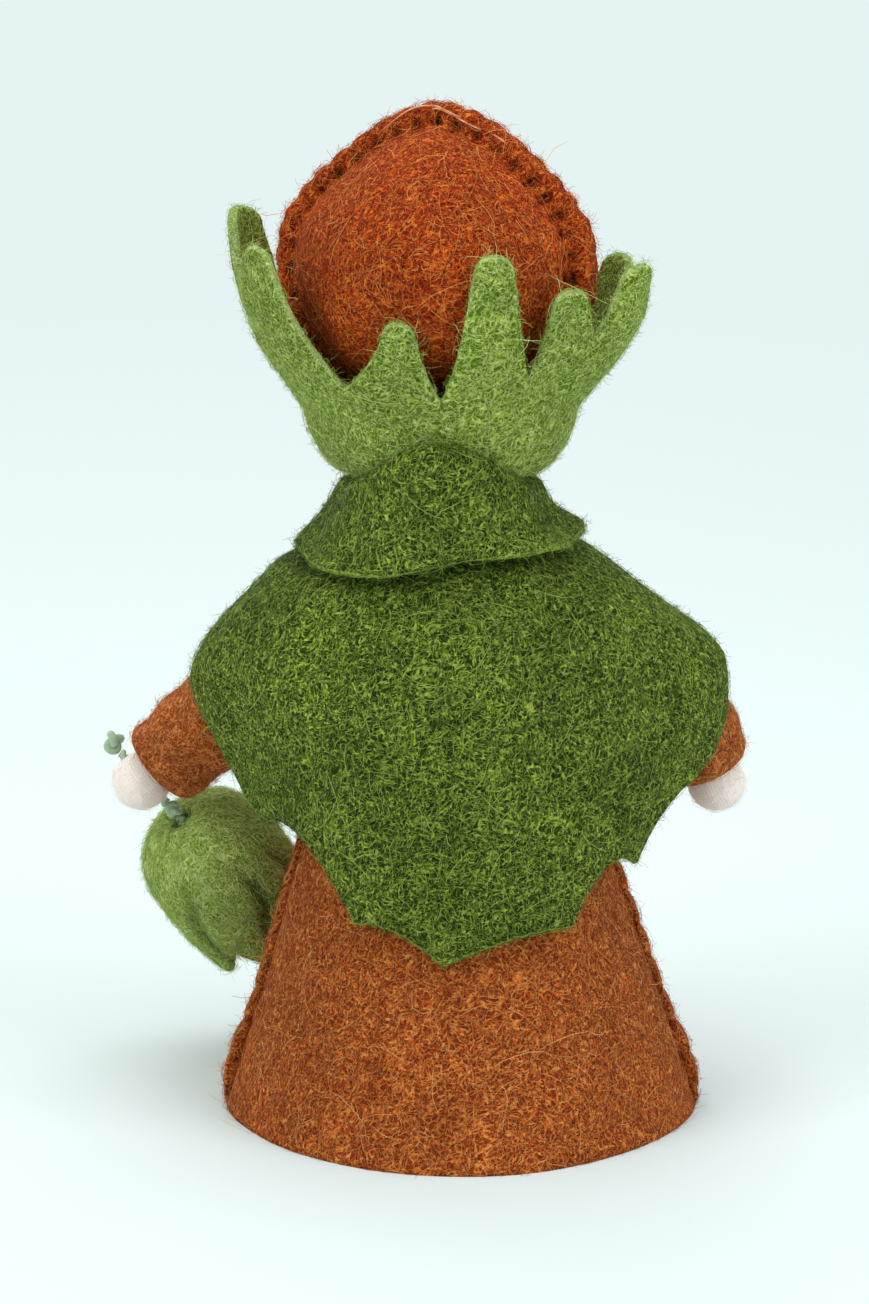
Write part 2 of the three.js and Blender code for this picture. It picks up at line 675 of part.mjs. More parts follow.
function hatPanel(middle) {
  const geometry = turnedWall(middle, FELT, 36);
  const points = geometry.getAttribute("position");
  for (let i = 0; i < points.count; i++) {
    const share = hatShare(points.getX(i), points.getZ(i));
    points.setXYZ(i, points.getX(i) * share, points.getY(i), points.getZ(i) * share);
  }
  return cut(geometry, neckOpening);
}
add("hat_back_panel", hatPanel(backMiddle), hatFelt, headFrame);
add("hat_front_band", hatPanel(frontMiddle), hatFelt, headFrame);

// Husk round the hat: a cup whose upper edge is cut into lobes

// How far the bowl spreads beyond the cup, as [height above the cup, spread]
const huskBowl = [[0, 0], [3.6, 2.5], [5.8, 4.2], [9.5, 5.9], [13, 6.9], [20, 8.0]];
// Share of that spread in each direction, as [angle from the back, share]
const huskSpread = [
  [-160, 0.55], [-136, 0.6], [-114, 0.98], [-90, 1.05], [-64, 1.15], [-44, 0.66], [-16, 0.5], [16, 0.45],
  [38, 0.68], [63, 0.92], [90, 0.98], [113, 1.15], [136, 0.6], [160, 0.55],
];
// Lobes, as [angle of the tip, height of the tip, half-width of the tip in degrees]
const huskLobes = [
  [-136, 79, 6], [-115, 83.4, 6.5], [-64, 85.3, 6], [-44, 83.4, 6], [-17, 87.2, 6.3],
  [15, 80.8, 6], [63, 87.0, 6.5], [113, 88.0, 6.5], [136, 79, 6],
];
// Notches between them, as [angle, height]
const huskNotches = [
  [-152, 72], [-125.5, 75.5], [-90, 77.5], [-54, 78.6], [-33, 75.2], [0, 73.2], [38, 74], [89, 78], [124.5, 76], [152, 72],
];

function huskEdge() {
  const edge = [huskNotches[0]];
  huskLobes.forEach(([angle, height, half], i) => {
    const next = huskNotches[i + 1];
    const before = huskNotches[i];
    edge.push([mix(before[0], angle - half, LOBE_WAIST), mix(before[1], height, LOBE_WAIST_HEIGHT)]);
    edge.push([angle - half, height - 0.9], [angle, height], [angle + half, height - 0.9]);
    edge.push([mix(next[0], angle + half, LOBE_WAIST), mix(next[1], height, LOBE_WAIST_HEIGHT)]);
    edge.push(next);
  });
  return edge;
}

// Half-profile of the cup under the lobes, as [radius, height]
const cupProfile = [
  [NECK_RADIUS + 1.1, CUP_BOTTOM],
  [CUP_RADIUS * 0.66, CUP_BOTTOM + 0.1],
  [CUP_RADIUS * 0.81, CUP_BOTTOM + 1.0],
  [CUP_RADIUS * 0.92, CUP_BOTTOM + 3.2],
  [CUP_RADIUS, CUP_BOTTOM + CUP_RISE],
];

// Whether a point lies inside the outside surface of the hat
const toHead = headFrame.matrix.clone().invert();
function insideHat(point) {
  const { x, y, z } = point.clone().applyMatrix4(toHead);
  const round = Math.hypot(x, z) / hatShare(x, z);
  const ahead = HAT_SEAM_Y - y;
  if (Math.abs(ahead) < LIP_Y + FELT / 2) return round < HAT_RADIUS + HAT_LIP + FELT / 2;
  if (ahead < 0) return Math.hypot(round / (HAT_RADIUS + FELT / 2), ahead / (HAT_BULGE + LIP_Y + FELT / 2)) < 1;
  return ahead < HAT_BAND_DEPTH + FELT && round < HAT_RADIUS + FELT / 2;
}

// How far out the hat reaches from the neck, in one direction at one height
function hatReach(angle, height) {
  for (let radius = 2 * HAT_RADIUS; radius > 0; radius -= 0.1) {
    if (insideHat(onHusk(angle, radius, height))) return radius;
  }
  return 0;
}

const onHusk = (angle, radius, height) =>
  at(NECK_X + radius * Math.sin(turn(angle)), NECK_Y + radius * Math.cos(turn(angle)), height);

function huskPoint(angle, height) {
  const flared = CUP_RADIUS + between(huskBowl, height - CUP_BOTTOM - CUP_RISE) * between(huskSpread, angle);
  const clear = hatReach(angle, height) + FELT / 2 + HUSK_EASE;
  return onHusk(angle, Math.max(flared, clear), height);
}

function huskCollar() {
  const rows = huskEdge().map(([angle, top]) => {
    const column = cupProfile.map(([radius, height]) => onHusk(angle, radius, height));
    const rim = CUP_BOTTOM + CUP_RISE;
    for (let step = 1; step <= 5; step++) column.push(huskPoint(angle, mix(rim, top, step / 5)));
    return column;
  });
  return feltSheet(rows, FELT);
}
add("husk_collar", huskCollar(), huskFelt);

// Cape: one sheet of felt that starts at the edge of the turned-down collar, rises to the fold,
// runs down inside to the tied neck and spreads over the shoulders to the lobed hem

// Collar and neck, as [radius, height] from the edge of the collar to the tied neck
const collarBack = [
  [14.2, 57.0], [14.9, 60.6], [15.2, 64.2], [15.1, 67.2], [14.3, 68.7], [13.4, 67.6],
  [12.2, 64.9], [9.4, 62.6], [7.0, 61.2],
];
const collarCorner = [
  [14.2, 57.1], [13.1, 59.6], [12.4, 61.8], [12.3, 63.5], [11.8, 64.4], [11.0, 63.7],
  [10.0, 62.7], [8.5, 62.0], [7.0, 61.1],
];
const collarSide = [
  [13.6, 57.6], [11.9, 58.8], [10.4, 60.2], [9.6, 61.7], [9.1, 62.5], [8.5, 62.6],
  [7.9, 62.2], [7.4, 61.7], [6.9, 61.0],
];
const collarFront = [
  [11.0, 57.6], [10.6, 59.1], [10.1, 60.4], [9.6, 61.4], [9.0, 62.0], [8.4, 62.1],
  [7.8, 61.9], [7.2, 61.5], [6.8, 60.9],
];
// Height of the collar's free edge, as [angle, height]
const collarEdge = [
  [-146, 57.6], [-93, 58.2], [-62, 57.5], [-44, 57.4], [-10, 57.0], [22, 56.0], [60, 56.2], [93, 56.7], [146, 57.6],
];
// Body of the cape below the tied neck, as [radius, height]
const bodyBack = [[6.7, 60.2], [8.2, 59.2], [10.6, 58.0], [12.5, 55.8], [14.5, 51], [15.9, 44], [17.0, 35], [17.7, 27], [18.2, 18]];
const bodyHip = [[6.7, 60.2], [8.2, 59.2], [10.4, 58.1], [12.9, 55.6], [15.6, 50.4], [17.0, 43.5], [17.6, 35.5], [17.9, 28], [18.2, 20]];
const bodyElbow = [[6.6, 60.1], [7.9, 59.2], [9.9, 58.3], [13.4, 55.8], [18.2, 50.6], [20.8, 45.4], [21.4, 39.5], [20.6, 33.5], [19.2, 27]];
const bodyLeft = [[6.5, 60.1], [7.5, 59.3], [9.6, 58.5], [14.0, 56.0], [19.2, 50.9], [23.2, 46.5], [25.0, 42.8], [23.6, 38.5], [21.5, 33]];
const bodyLeftElbow = [[6.6, 60.1], [7.9, 59.2], [9.9, 58.3], [13.4, 55.8], [18.2, 50.6], [20.6, 45.4], [20.2, 39.5], [19.2, 33.5], [18.2, 27]];
const bodyRight = [[6.5, 60.1], [7.5, 59.3], [9.6, 58.5], [14.3, 55.8], [20.6, 50.4], [24.9, 47.4], [27.6, 44.9], [27.9, 39.5], [27.0, 33]];
const bodyBreast = [[6.4, 60.0], [7.2, 59.3], [8.8, 58.2], [12.2, 55.6], [16.3, 51.2], [19.5, 47.4], [21.4, 43.8], [22.0, 39.5], [22.2, 35]];
const bodyFront = [[6.3, 59.9], [6.8, 59.2], [7.8, 57.9], [9.6, 54.9], [11.3, 50.6], [12.6, 46.8], [13.4, 43], [13.9, 39], [14.2, 35]];

// Ribs round the doll, as [angle from the back towards the left side, collar, body]
const ribs = [
  [-146, collarFront, bodyFront],
  [-120, collarFront, bodyBreast],
  [-93, collarSide, bodyRight],
  [-68, collarSide, bodyElbow],
  [-40, collarCorner, bodyHip],
  [0, collarBack, bodyBack],
  [40, collarCorner, bodyHip],
  [70, collarSide, bodyLeftElbow],
  [93, collarSide, bodyLeft],
  [120, collarFront, bodyBreast],
  [146, collarFront, bodyFront],
];
// Hem corners, as [angle, height, rise of the scallop up to the next corner]
const hemCorners = [
  [-146, 46.0, 0.8], [-122, 42.5, 2.2], [-98, 44.6, -0.8], [-80, 34.3, 1.2], [-66, 26.8, 1.3],
  [-37, 22.4, 1.0], [4.3, 19.6, 0.8], [32, 23.0, 2.4], [73.6, 30.0, 0.6], [91, 41.4, 4.6],
  [122, 42.5, 0.8], [146, 46.0, 0],
];

// Each height of a rib read between two stops of a list of ribs
function ribAt(angle, part) {
  const next = Math.max(ribs.findIndex(([stop]) => stop >= angle), 1);
  const get = (i) => ribs[THREE.MathUtils.clamp(i, 0, ribs.length - 1)];
  const [start] = get(next - 1);
  const [end] = get(next);
  const share = (angle - start) / (end - start);
  return get(next)[part].map((unused, station) => {
    const value = (k) => {
      const p = [get(next - 2), get(next - 1), get(next), get(next + 1)].map((rib) => rib[part][station][k]);
      const slopeIn = (p[2] - p[0]) / 2;
      const slopeOut = (p[3] - p[1]) / 2;
      const s2 = share * share;
      const s3 = s2 * share;
      return (
        (2 * s3 - 3 * s2 + 1) * p[1] +
        (s3 - 2 * s2 + share) * slopeIn +
        (3 * s2 - 2 * s3) * p[2] +
        (s3 - s2) * slopeOut
      );
    };
    return [value(0), value(1)];
  });
}

function hemHeight(angle) {
  const next = Math.max(hemCorners.findIndex(([stop]) => stop >= angle), 1);
  const [start, low, rise] = hemCorners[next - 1];
  const [end, high] = hemCorners[next];
  const share = (angle - start) / (end - start);
  return mix(low, high, share) + 4 * rise * share * (1 - share);
}

function capeColumn(angle) {
  const collar = ribAt(angle, 1);
  const drop = between(collarEdge, angle) - collar[0][1];
  collar[0][1] += drop;
  collar[1][1] += drop / 2;
  const body = ribAt(angle, 2);
  const hem = hemHeight(angle);
  const stations = [...collar];
  const fixed = body.slice(0, 3);
  stations.push(...fixed);
  const falling = body.map(([radius, height]) => [-height, radius]);
  const from = fixed[2][1];
  for (let step = 1; step <= 6; step++) {
    const height = mix(from, hem, step / 6);
    stations.push([between(falling, -height), height]);
  }
  return stations.map(([radius, height]) =>
    at(lean(height) + radius * Math.sin(turn(angle)), CAPE_Y + radius * Math.cos(turn(angle)), height),
  );
}

function cape() {
  const rows = [];
  hemCorners.slice(0, -1).forEach(([angle], i) => {
    const next = hemCorners[i + 1][0];
    const steps = Math.max(2, Math.round((next - angle) / 10));
    for (let step = 0; step < steps; step++) rows.push(capeColumn(mix(angle, next, step / steps)));
  });
  rows.push(capeColumn(hemCorners.at(-1)[0]));
  return feltSheet(rows, FELT);
}
add("cape", cape(), capeFelt);

const tie = new THREE.TorusGeometry(TIE_RADIUS, THREAD_RADIUS, 5, 28);
tie.translate(lean(DRESS_HEIGHT), CAPE_Y, TIE_HEIGHT);
add("cape_tie", facedOut(tie), greenThread);

// The frame's origin is under the middle of the doll's box, on the surface it stands on
doll.updateMatrixWorld(true);
const box = new THREE.Box3().setFromObject(doll, true);
const middle = box.getCenter(at(0, 0, 0));
doll.position.set(-middle.x, -middle.y, -box.min.z);

export default doll;
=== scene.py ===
# %% [markdown]
# This notebook dresses a small standing doll made of wool felt, about ten centimetres tall. It has a round
# hat, a husk of leaves round the hat, a leaf cape with a turned-down collar, bendable arms and a hanging
# hazelnut. The CAD model gives every piece its place and size. Here each piece of felt is built again as a
# sheet with soft edges, loose wool fibres are scattered over it, and the stitches, yarn and knitted skin
# get their own forms.

# %% Load the frame
import json
import math

import bmesh
import bpy
import numpy as np
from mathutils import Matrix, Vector, noise

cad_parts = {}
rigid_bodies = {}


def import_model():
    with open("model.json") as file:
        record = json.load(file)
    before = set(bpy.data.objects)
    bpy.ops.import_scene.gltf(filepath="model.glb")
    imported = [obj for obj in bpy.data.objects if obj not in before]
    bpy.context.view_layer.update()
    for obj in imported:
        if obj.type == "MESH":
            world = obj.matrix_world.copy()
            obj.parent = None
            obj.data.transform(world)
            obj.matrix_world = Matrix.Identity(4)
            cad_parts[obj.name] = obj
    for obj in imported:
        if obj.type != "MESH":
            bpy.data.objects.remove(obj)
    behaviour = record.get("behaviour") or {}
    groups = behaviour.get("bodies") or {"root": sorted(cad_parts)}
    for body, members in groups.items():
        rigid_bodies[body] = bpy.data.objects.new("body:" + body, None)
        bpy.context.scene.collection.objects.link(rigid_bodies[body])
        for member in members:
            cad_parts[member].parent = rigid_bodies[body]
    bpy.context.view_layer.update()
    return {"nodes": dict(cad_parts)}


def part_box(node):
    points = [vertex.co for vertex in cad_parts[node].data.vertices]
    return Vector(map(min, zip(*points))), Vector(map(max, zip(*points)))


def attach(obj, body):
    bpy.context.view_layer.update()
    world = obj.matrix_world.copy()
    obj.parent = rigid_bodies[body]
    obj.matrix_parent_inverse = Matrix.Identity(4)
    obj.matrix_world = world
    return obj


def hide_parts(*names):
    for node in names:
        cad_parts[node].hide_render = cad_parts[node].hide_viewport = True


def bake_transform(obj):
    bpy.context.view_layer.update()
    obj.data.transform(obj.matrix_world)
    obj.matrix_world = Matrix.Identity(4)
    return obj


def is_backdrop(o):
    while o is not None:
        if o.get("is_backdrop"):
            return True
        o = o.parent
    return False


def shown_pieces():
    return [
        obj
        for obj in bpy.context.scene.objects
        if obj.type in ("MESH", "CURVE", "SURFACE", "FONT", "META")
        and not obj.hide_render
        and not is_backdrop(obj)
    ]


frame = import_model()
MM = 0.001
hem_low, hem_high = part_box("dress_back_panel")
DOLL_X = (hem_low.x + hem_high.x) / 2
print("the doll's own axis stands at x =", round(DOLL_X / MM, 3), "mm")

# %% [markdown]
# Sizes are written in millimetres from the doll's own axis, as a maker would measure them on the table. One
# function turns them into metres in the shared frame. Colours are written as the hex values that a paint
# program shows, and a second function turns them into the linear values that Blender calculates with.

# %% Units and colours
def place(points):
    return np.asarray(points, float) * MM + np.array((DOLL_X, 0, 0))


def linear(hex_colour):
    channels = [int(hex_colour[i : i + 2], 16) / 255 for i in (1, 3, 5)]
    bent = [c / 12.92 if c <= 0.04045 else ((c + 0.055) / 1.055) ** 2.4 for c in channels]
    return (*bent, 1.0)


# %% [markdown]
# The camera stands behind the doll and looks down on it by fourteen degrees, from about half a metre away.
# The lens is written from the height of the picture, so the view is the same at any number of pixels.

# %% Camera
PICTURE_HEIGHT, FOCAL_PIXELS = 1304, 5088.7
PITCH = math.radians(13.97)
SENSOR = 24.0
CAMERA_AT = (2.63, 480, 165.28)
camera_data = bpy.data.cameras.new("camera")
camera_data.sensor_fit = "VERTICAL"
camera_data.sensor_height = SENSOR
camera_data.lens = SENSOR * FOCAL_PIXELS / PICTURE_HEIGHT
camera_data.clip_end = 20
camera = bpy.data.objects.new("camera", camera_data)
camera.location = place(CAMERA_AT)
looking = Vector((0, -math.cos(PITCH), -math.sin(PITCH)))
camera.rotation_euler = looking.to_track_quat("-Z", "Y").to_euler()
bpy.context.collection.objects.link(camera)
bpy.context.scene.camera = camera
bpy.context.scene.view_settings.view_transform = "Standard"
print("lens", round(camera_data.lens, 2), "mm on a sensor", SENSOR, "mm high")

# %% [markdown]
# The set is a studio table: a pale blue-white floor that runs out of the picture, two large soft lamps
# beside the camera, a softer one above, and an even pale sky. Each lamp is wide compared with the doll, so
# the shadows have soft edges and the wool keeps its colour. Far from the doll the floor shows its own even
# colour.

# %% A helper for nodes
def add(tree, kind, inputs=None, **settings):
    """Adds a node; an input is given a number, a colour, an output, or a node for its first output."""
    made = tree.nodes.new(kind)
    for name, value in settings.items():
        setattr(made, name, value)
    for name, value in (inputs or {}).items():
        if isinstance(value, bpy.types.Node):
            value = value.outputs[0]
        if isinstance(value, bpy.types.NodeSocket):
            tree.links.new(value, made.inputs[name])
        else:
            made.inputs[name].default_value = value
    return made


def new_material(name):
    material = bpy.data.materials.new(name)
    material.use_nodes = True
    material.node_tree.nodes.clear()
    return material, material.node_tree


# %% Floor and sky
FLOOR_COLOUR, BACKDROP_COLOUR, SKY_COLOUR = "#E0ECEB", "#E5F3F2", "#F2F8FA"
FLOOR_REACH, SKY_STRENGTH = 6.0, 0.55
FADE_FROM, FADE_TO = 0.09, 0.45
floor_mesh = bpy.data.meshes.new("floor")
corners = [(x * FLOOR_REACH, y * FLOOR_REACH, 0) for x, y in ((-1, -1), (1, -1), (1, 1), (-1, 1))]
floor_mesh.from_pydata(corners, [], [(0, 1, 2, 3)])
floor = bpy.data.objects.new("floor", floor_mesh)
bpy.context.collection.objects.link(floor)
floor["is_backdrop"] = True
material, tree = new_material("studio_floor")
spot = add(tree, "ShaderNodeTexCoord").outputs["Object"]
away = add(tree, "ShaderNodeVectorMath", {0: spot}, operation="LENGTH").outputs["Value"]
far = add(tree, "ShaderNodeMapRange", {"Value": away, "From Min": FADE_FROM, "From Max": FADE_TO})
seen = add(tree, "ShaderNodeLightPath").outputs["Is Camera Ray"]
share = add(tree, "ShaderNodeMath", {0: far, 1: seen}, operation="MULTIPLY")
matt = add(tree, "ShaderNodeBsdfDiffuse", {"Color": linear(FLOOR_COLOUR)})
even = add(tree, "ShaderNodeEmission", {"Color": linear(BACKDROP_COLOUR), "Strength": 1.0})
both = add(tree, "ShaderNodeMixShader", {0: share, 1: matt, 2: even})
add(tree, "ShaderNodeOutputMaterial", {"Surface": both})
floor_mesh.materials.append(material)

world = bpy.data.worlds.new("studio")
bpy.context.scene.world = world
world.use_nodes = True
world.node_tree.nodes.clear()
sky = add(world.node_tree, "ShaderNodeBackground", {"Color": linear(SKY_COLOUR), "Strength": SKY_STRENGTH})
add(world.node_tree, "ShaderNodeOutputWorld", {"Surface": sky})
print("floor", 2 * FLOOR_REACH, "m wide")

# %% Lamps: place and height aimed at in millimetres, width in metres, power in watts
LAMPS = (
    ("left_soft_box", (420, 330, 420), 50, 0.34, 1.35, "#FFFDF8"),
    ("right_soft_box", (-430, 300, 380), 50, 0.34, 1.25, "#FFFFFF"),
    ("top_soft_box", (20, -10, 620), 60, 0.42, 1.6, "#FDFEFF"),
    ("front_fill", (120, -480, 260), 60, 0.5, 0.8, "#FFFFFF"),
)
for name, at, aim_height, width, power, colour in LAMPS:
    data = bpy.data.lights.new(name, "AREA")
    data.size = width
    data.energy = power
    data.color = linear(colour)[:3]
    lamp = bpy.data.objects.new(name, data)
    lamp.location = place(at)
    aim = Vector(place((0, 0, aim_height))) - lamp.location
    lamp.rotation_euler = aim.to_track_quat("-Z", "Y").to_euler()
    bpy.context.collection.objects.link(lamp)
    print(name, "gives", power, "W")

# %% [markdown]
# Curves come first, because most edges of the doll are smooth lines through a few measured points. The
# first helper is the cubic that joins two points with given slopes. The next runs such cubics through the
# points of a table, and another reads one value between named stops.

# %% Smooth lines
def cubic(p1, m1, p2, m2, s):
    """From p1 to p2 as s goes from 0 to 1, leaving with slope m1 and arriving with slope m2."""
    s2, s3 = s**2, s**3
    return (2 * s3 - 3 * s2 + 1) * p1 + (s3 - 2 * s2 + s) * m1 + (3 * s2 - 2 * s3) * p2 + (s3 - s2) * m2


def smooth(points, count):
    """A smooth line through the points, read at an even number of steps."""
    points = np.asarray(points, float)
    last = len(points) - 1
    where = np.linspace(0, last, count)
    start = np.minimum(where.astype(int), last - 1)
    p1, p2 = points[start], points[start + 1]
    p0 = np.where(start[:, None] > 0, points[np.maximum(start - 1, 0)], 2 * p1 - p2)
    p3 = np.where(start[:, None] < last - 1, points[np.minimum(start + 2, last)], 2 * p2 - p1)
    return cubic(p1, (p2 - p0) / 2, p2, (p3 - p1) / 2, (where - start)[:, None])


def between(stops, position):
    stops = np.asarray(stops, float)
    return np.interp(position, stops[:, 0], stops[:, 1])

# %% Lengths along a line, circles, directions and lumps
def walked_along(line):
    """The distance from the start of a line to each of its points."""
    return np.append(0, np.cumsum(np.linalg.norm(np.diff(line, axis=0), axis=1)))


def even_profile(points, step):
    """The same outline with more points: none further apart than the step."""
    points = np.asarray(points, float)
    walked = walked_along(points)
    where = np.linspace(0, walked[-1], int(walked[-1] / step) + 1)
    return np.stack([np.interp(where, walked, points[:, i]) for i in range(2)], -1)


def circle(count):
    """Angles once round, without the last one that would repeat the first."""
    return 2 * np.pi * np.arange(count) / count


def bell(distance, width):
    """1 in the middle, falling softly to 0 beyond the width."""
    return np.exp(-((distance / width) ** 2))


def unit(vectors):
    length = np.linalg.norm(vectors, axis=-1, keepdims=True)
    return vectors / np.maximum(length, 1e-9)


def lumps(points, size, seed):
    """Smooth noise from -1 to 1 at each point, for bumps of about that size in millimetres."""
    flat = np.asarray(points, float).reshape(-1, 3) / size + seed
    values = [noise.noise(Vector(p)) for p in flat]
    return np.array(values).reshape(np.shape(points)[:-1])


# %% [markdown]
# Every piece becomes a plain mesh with its place in the mesh. One helper makes it, others read its points and
# write values on them that materials and nodes can read, and one puts it on its body, prints its slot in the
# list of looks and hides the CAD node that it stands for.

# %% Meshes
def finished(name, points, faces, materials=()):
    mesh = bpy.data.meshes.new(name)
    mesh.from_pydata([tuple(p) for p in points], [], [tuple(int(i) for i in f) for f in faces])
    mesh.validate()
    for material in materials:
        mesh.materials.append(material)
    mesh.polygons.foreach_set("use_smooth", [True] * len(mesh.polygons))
    mesh.update()
    made = bpy.data.objects.new(name, mesh)
    bpy.context.collection.objects.link(made)
    return made


def points_of(piece):
    return np.array([v.co for v in piece.data.vertices])


VALUE_KINDS = {
    "FLOAT": ("value", np.float32),
    "FLOAT_VECTOR": ("vector", np.float32),
    "BOOLEAN": ("value", bool),
}


def store(mesh, label, values, kind="FLOAT", domain="POINT"):
    """Writes a value for each point or edge under a name that materials and Geometry Nodes can read."""
    field, number = VALUE_KINDS[kind]
    kept = mesh.attributes.get(label) or mesh.attributes.new(label, kind, domain)
    kept.data.foreach_set(field, np.asarray(values, number).ravel())


def assign(pieces, slot, body=None, node=None):
    """Puts pieces on the body they ride on and prints the slot they belong in; the CAD node they stand for is
    hidden.
    """
    for piece in pieces:
        if body:
            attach(piece, body)
        print(piece.name, "has", len(piece.data.polygons), "faces, in slot", slot)
    if node:
        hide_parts(node)


def signed_volume(points, faces):
    a, b, c, d = (points[faces[:, i]] for i in range(4))
    return (np.einsum("ij,ij->i", a, np.cross(b, c)) + np.einsum("ij,ij->i", a, np.cross(c, d))).sum()


def grid_quads(index):
    """One four-sided face for each cell of a grid of point numbers."""
    return np.stack([index[:-1, :-1], index[1:, :-1], index[1:, 1:], index[:-1, 1:]], -1).reshape(-1, 4)


# %% [markdown]
# Felt has no weave, so a piece of it is a sheet of even thickness with a soft cut edge. The helper below
# takes the points along the middle of the sheet and builds both faces and a rounded rim. The rim gets a
# material of its own, because a fresh cut shows paler wool than the brushed face. A weight named fuzz says
# where the loose fibres stand: all over the outside and the rim, and fewer inside.

# %% A sheet of felt
FELT = 1.1
EDGE_SHARE, RIM_BULGE, RIM_FUZZ = 0.86, 0.28, 3.0
# A dent this deep, in millimetres, gets the full painted shade.
DEEPEST_DENT = 0.55


def sheet_normals(middle, ring):
    if ring:
        across = np.roll(middle, -1, 0) - np.roll(middle, 1, 0)
    else:
        across = np.gradient(middle, axis=0)
    return unit(np.cross(across, np.gradient(middle, axis=1)))


def rim_push(middle, ring, split, level):
    """How far the rim's middle line bulges past the sheet's own edge, at each point of the grid."""
    push = np.zeros(middle.shape)
    along = unit(np.gradient(middle, axis=1))
    push[:, 0] -= along[:, 0]
    push[:, -1] += along[:, -1]
    if not ring:
        across = unit(np.gradient(middle, axis=0))
        if "first" not in split:
            push[0] -= across[0]
        if "last" not in split:
            push[-1] += across[-1]
    if level:
        push[..., 2] = 0
    return unit(push).reshape(-1, 3) * FELT * (0 if level else RIM_BULGE)

# %% The sheet itself
def felt_sheet(name, middle, materials, centre=None, ring=False, normals=None, fuzz_of=(1.0, 0.3), split=(),
               level=False, dent=0.0):
    """A sheet of felt round a grid of points in millimetres. Its outside faces away from the centre. The
    two shares in fuzz_of are for its outside and inside. Row ends named in split are closed flat."""
    rows, columns = middle.shape[:2]
    count = rows * columns
    normals = sheet_normals(middle, ring) if normals is None else normals
    if centre is not None and (normals * (middle - centre)).sum() < 0:
        normals = -normals
    if level:
        normals = unit(normals * (1, 1, 0))
    half = np.full((rows, columns), FELT / 2)
    half[:, [0, -1]] *= EDGE_SHARE
    outside = middle + normals * (half - dent)[..., None]
    inside = middle - normals * half[..., None]
    index = np.arange(count).reshape(rows, columns)
    if ring:
        index_round = np.concatenate([index, index[:1]])
        edges = [(index_round[:, 0], False), (index_round[:, -1], True)]
    else:
        index_round = index
        edges = [(np.concatenate([index[:, 0], index[-1, 1:], index[-2::-1, -1], index[0, -2::-1]]), False)]
    quads = grid_quads(index_round)
    points = [outside.reshape(-1, 3), inside.reshape(-1, 3)]
    faces = [quads, quads[:, ::-1] + count]
    rim_line = middle.reshape(-1, 3) + rim_push(middle, ring, split, level)
    total = 2 * count
    for edge, turned in edges:
        ends = edge[:-1]
        rim = total + np.arange(len(ends))
        rim = np.append(rim, rim[0])
        points.append(rim_line[ends])
        total += len(ends)
        o0, o1, r0, r1 = edge[:-1], edge[1:], rim[:-1], rim[1:]
        for strip in (np.stack([o1, o0, r0, r1], -1), np.stack([r1, r0, o0 + count, o1 + count], -1)):
            faces.append(strip[:, ::-1] if turned else strip)
    points = np.concatenate(points)
    faces = np.concatenate(faces)
    if signed_volume(points, faces) < 0:
        faces = faces[:, ::-1]
    made = finished(name, place(points), faces, materials)
    mesh = made.data
    slots = np.zeros(len(mesh.polygons), int)
    slots[2 * len(quads) :] = 1 if len(materials) > 1 else 0
    if len(slots) == len(faces):
        mesh.polygons.foreach_set("material_index", slots)
    # The dent's share is stored for the felt material, which paints shade into the dent with it; it also
    # thins the fibres there.
    sunk = np.zeros(len(points))
    sunk[:count] = np.broadcast_to(np.clip(dent / DEEPEST_DENT, 0, 1), (rows, columns)).ravel()
    fuzz = np.full(len(points), RIM_FUZZ)
    outer_fuzz, inner_fuzz = (np.broadcast_to(part, (rows, columns)).ravel() for part in fuzz_of)
    fuzz[:count] = outer_fuzz * (1 - 0.9 * sunk[:count])
    fuzz[count : 2 * count] = inner_fuzz
    store(mesh, "fuzz", fuzz)
    store(mesh, "sunk", sunk)
    flat_rows = [row for row, word in ((0, "first"), (rows - 1, "last")) if word in split]
    corners = np.zeros(2 * len(mesh.edges), int)
    mesh.edges.foreach_get("vertices", corners)
    corners = corners.reshape(-1, 2)
    row_of = np.where(corners < 2 * count, (corners % count) // columns, -1)
    store(mesh, "sharp_edge", np.isin(row_of, flat_rows).all(1), "BOOLEAN", "EDGE")
    return made


# %% [markdown]
# Wool felt is a mat of curly fibres. From close by, each one is a thin bright line, and between them the mat
# is darker. Here that darker mat is painted shade, and the bright lines are the wool's pale tones, partly
# painted highlight. A noise texture read only where it crosses its middle value gives just such thin curly
# lines. Four sets of them are stretched in four directions and drift a little, as the fibres do. Where
# stitches sink the felt, a value stored with the sheet paints it darker, as painted shade in the dent. Loose
# fibres on top are real geometry, scattered later.

# %% Fibre lines; spacings and waves are in millimetres, drawn coarser than real wool so that they show
STRETCH = 4.5
LAYS = ((0.0, 0.0, 0.0), (0.3, 0.75, 0.2), (-0.3, -0.7, 0.5), (0.6, 1.5, 0.1))
LINE_SPACINGS = (0.52, 0.46, 0.42, 0.58)
LINE_STRENGTHS = (1.0, 0.85, 0.7, 0.9)
DRIFT_WAVE, DRIFT_REACH = 2.2, 1.5


def fibre_lines(tree, spot, lay, spacing, seed, width=0.034):
    """Thin curly lines that lie mostly one way, about one spacing in millimetres apart."""
    turned = add(tree, "ShaderNodeMapping", {
        "Vector": spot, "Location": (seed * MM, 0, -seed * MM), "Rotation": lay,
        "Scale": (STRETCH * spacing * MM, spacing * MM, spacing * MM)}, vector_type="TEXTURE")
    field = add(tree, "ShaderNodeTexNoise", {"Vector": turned, "Scale": 1.0, "Detail": 1.0})
    off = add(tree, "ShaderNodeMath", {0: field, 1: 0.5}, operation="SUBTRACT")
    size = add(tree, "ShaderNodeMath", {0: off}, operation="ABSOLUTE")
    ends = {"From Min": 0.3 * width, "From Max": width, "To Min": 1.0, "To Max": 0.0}
    return add(tree, "ShaderNodeMapRange", {"Value": size, **ends})


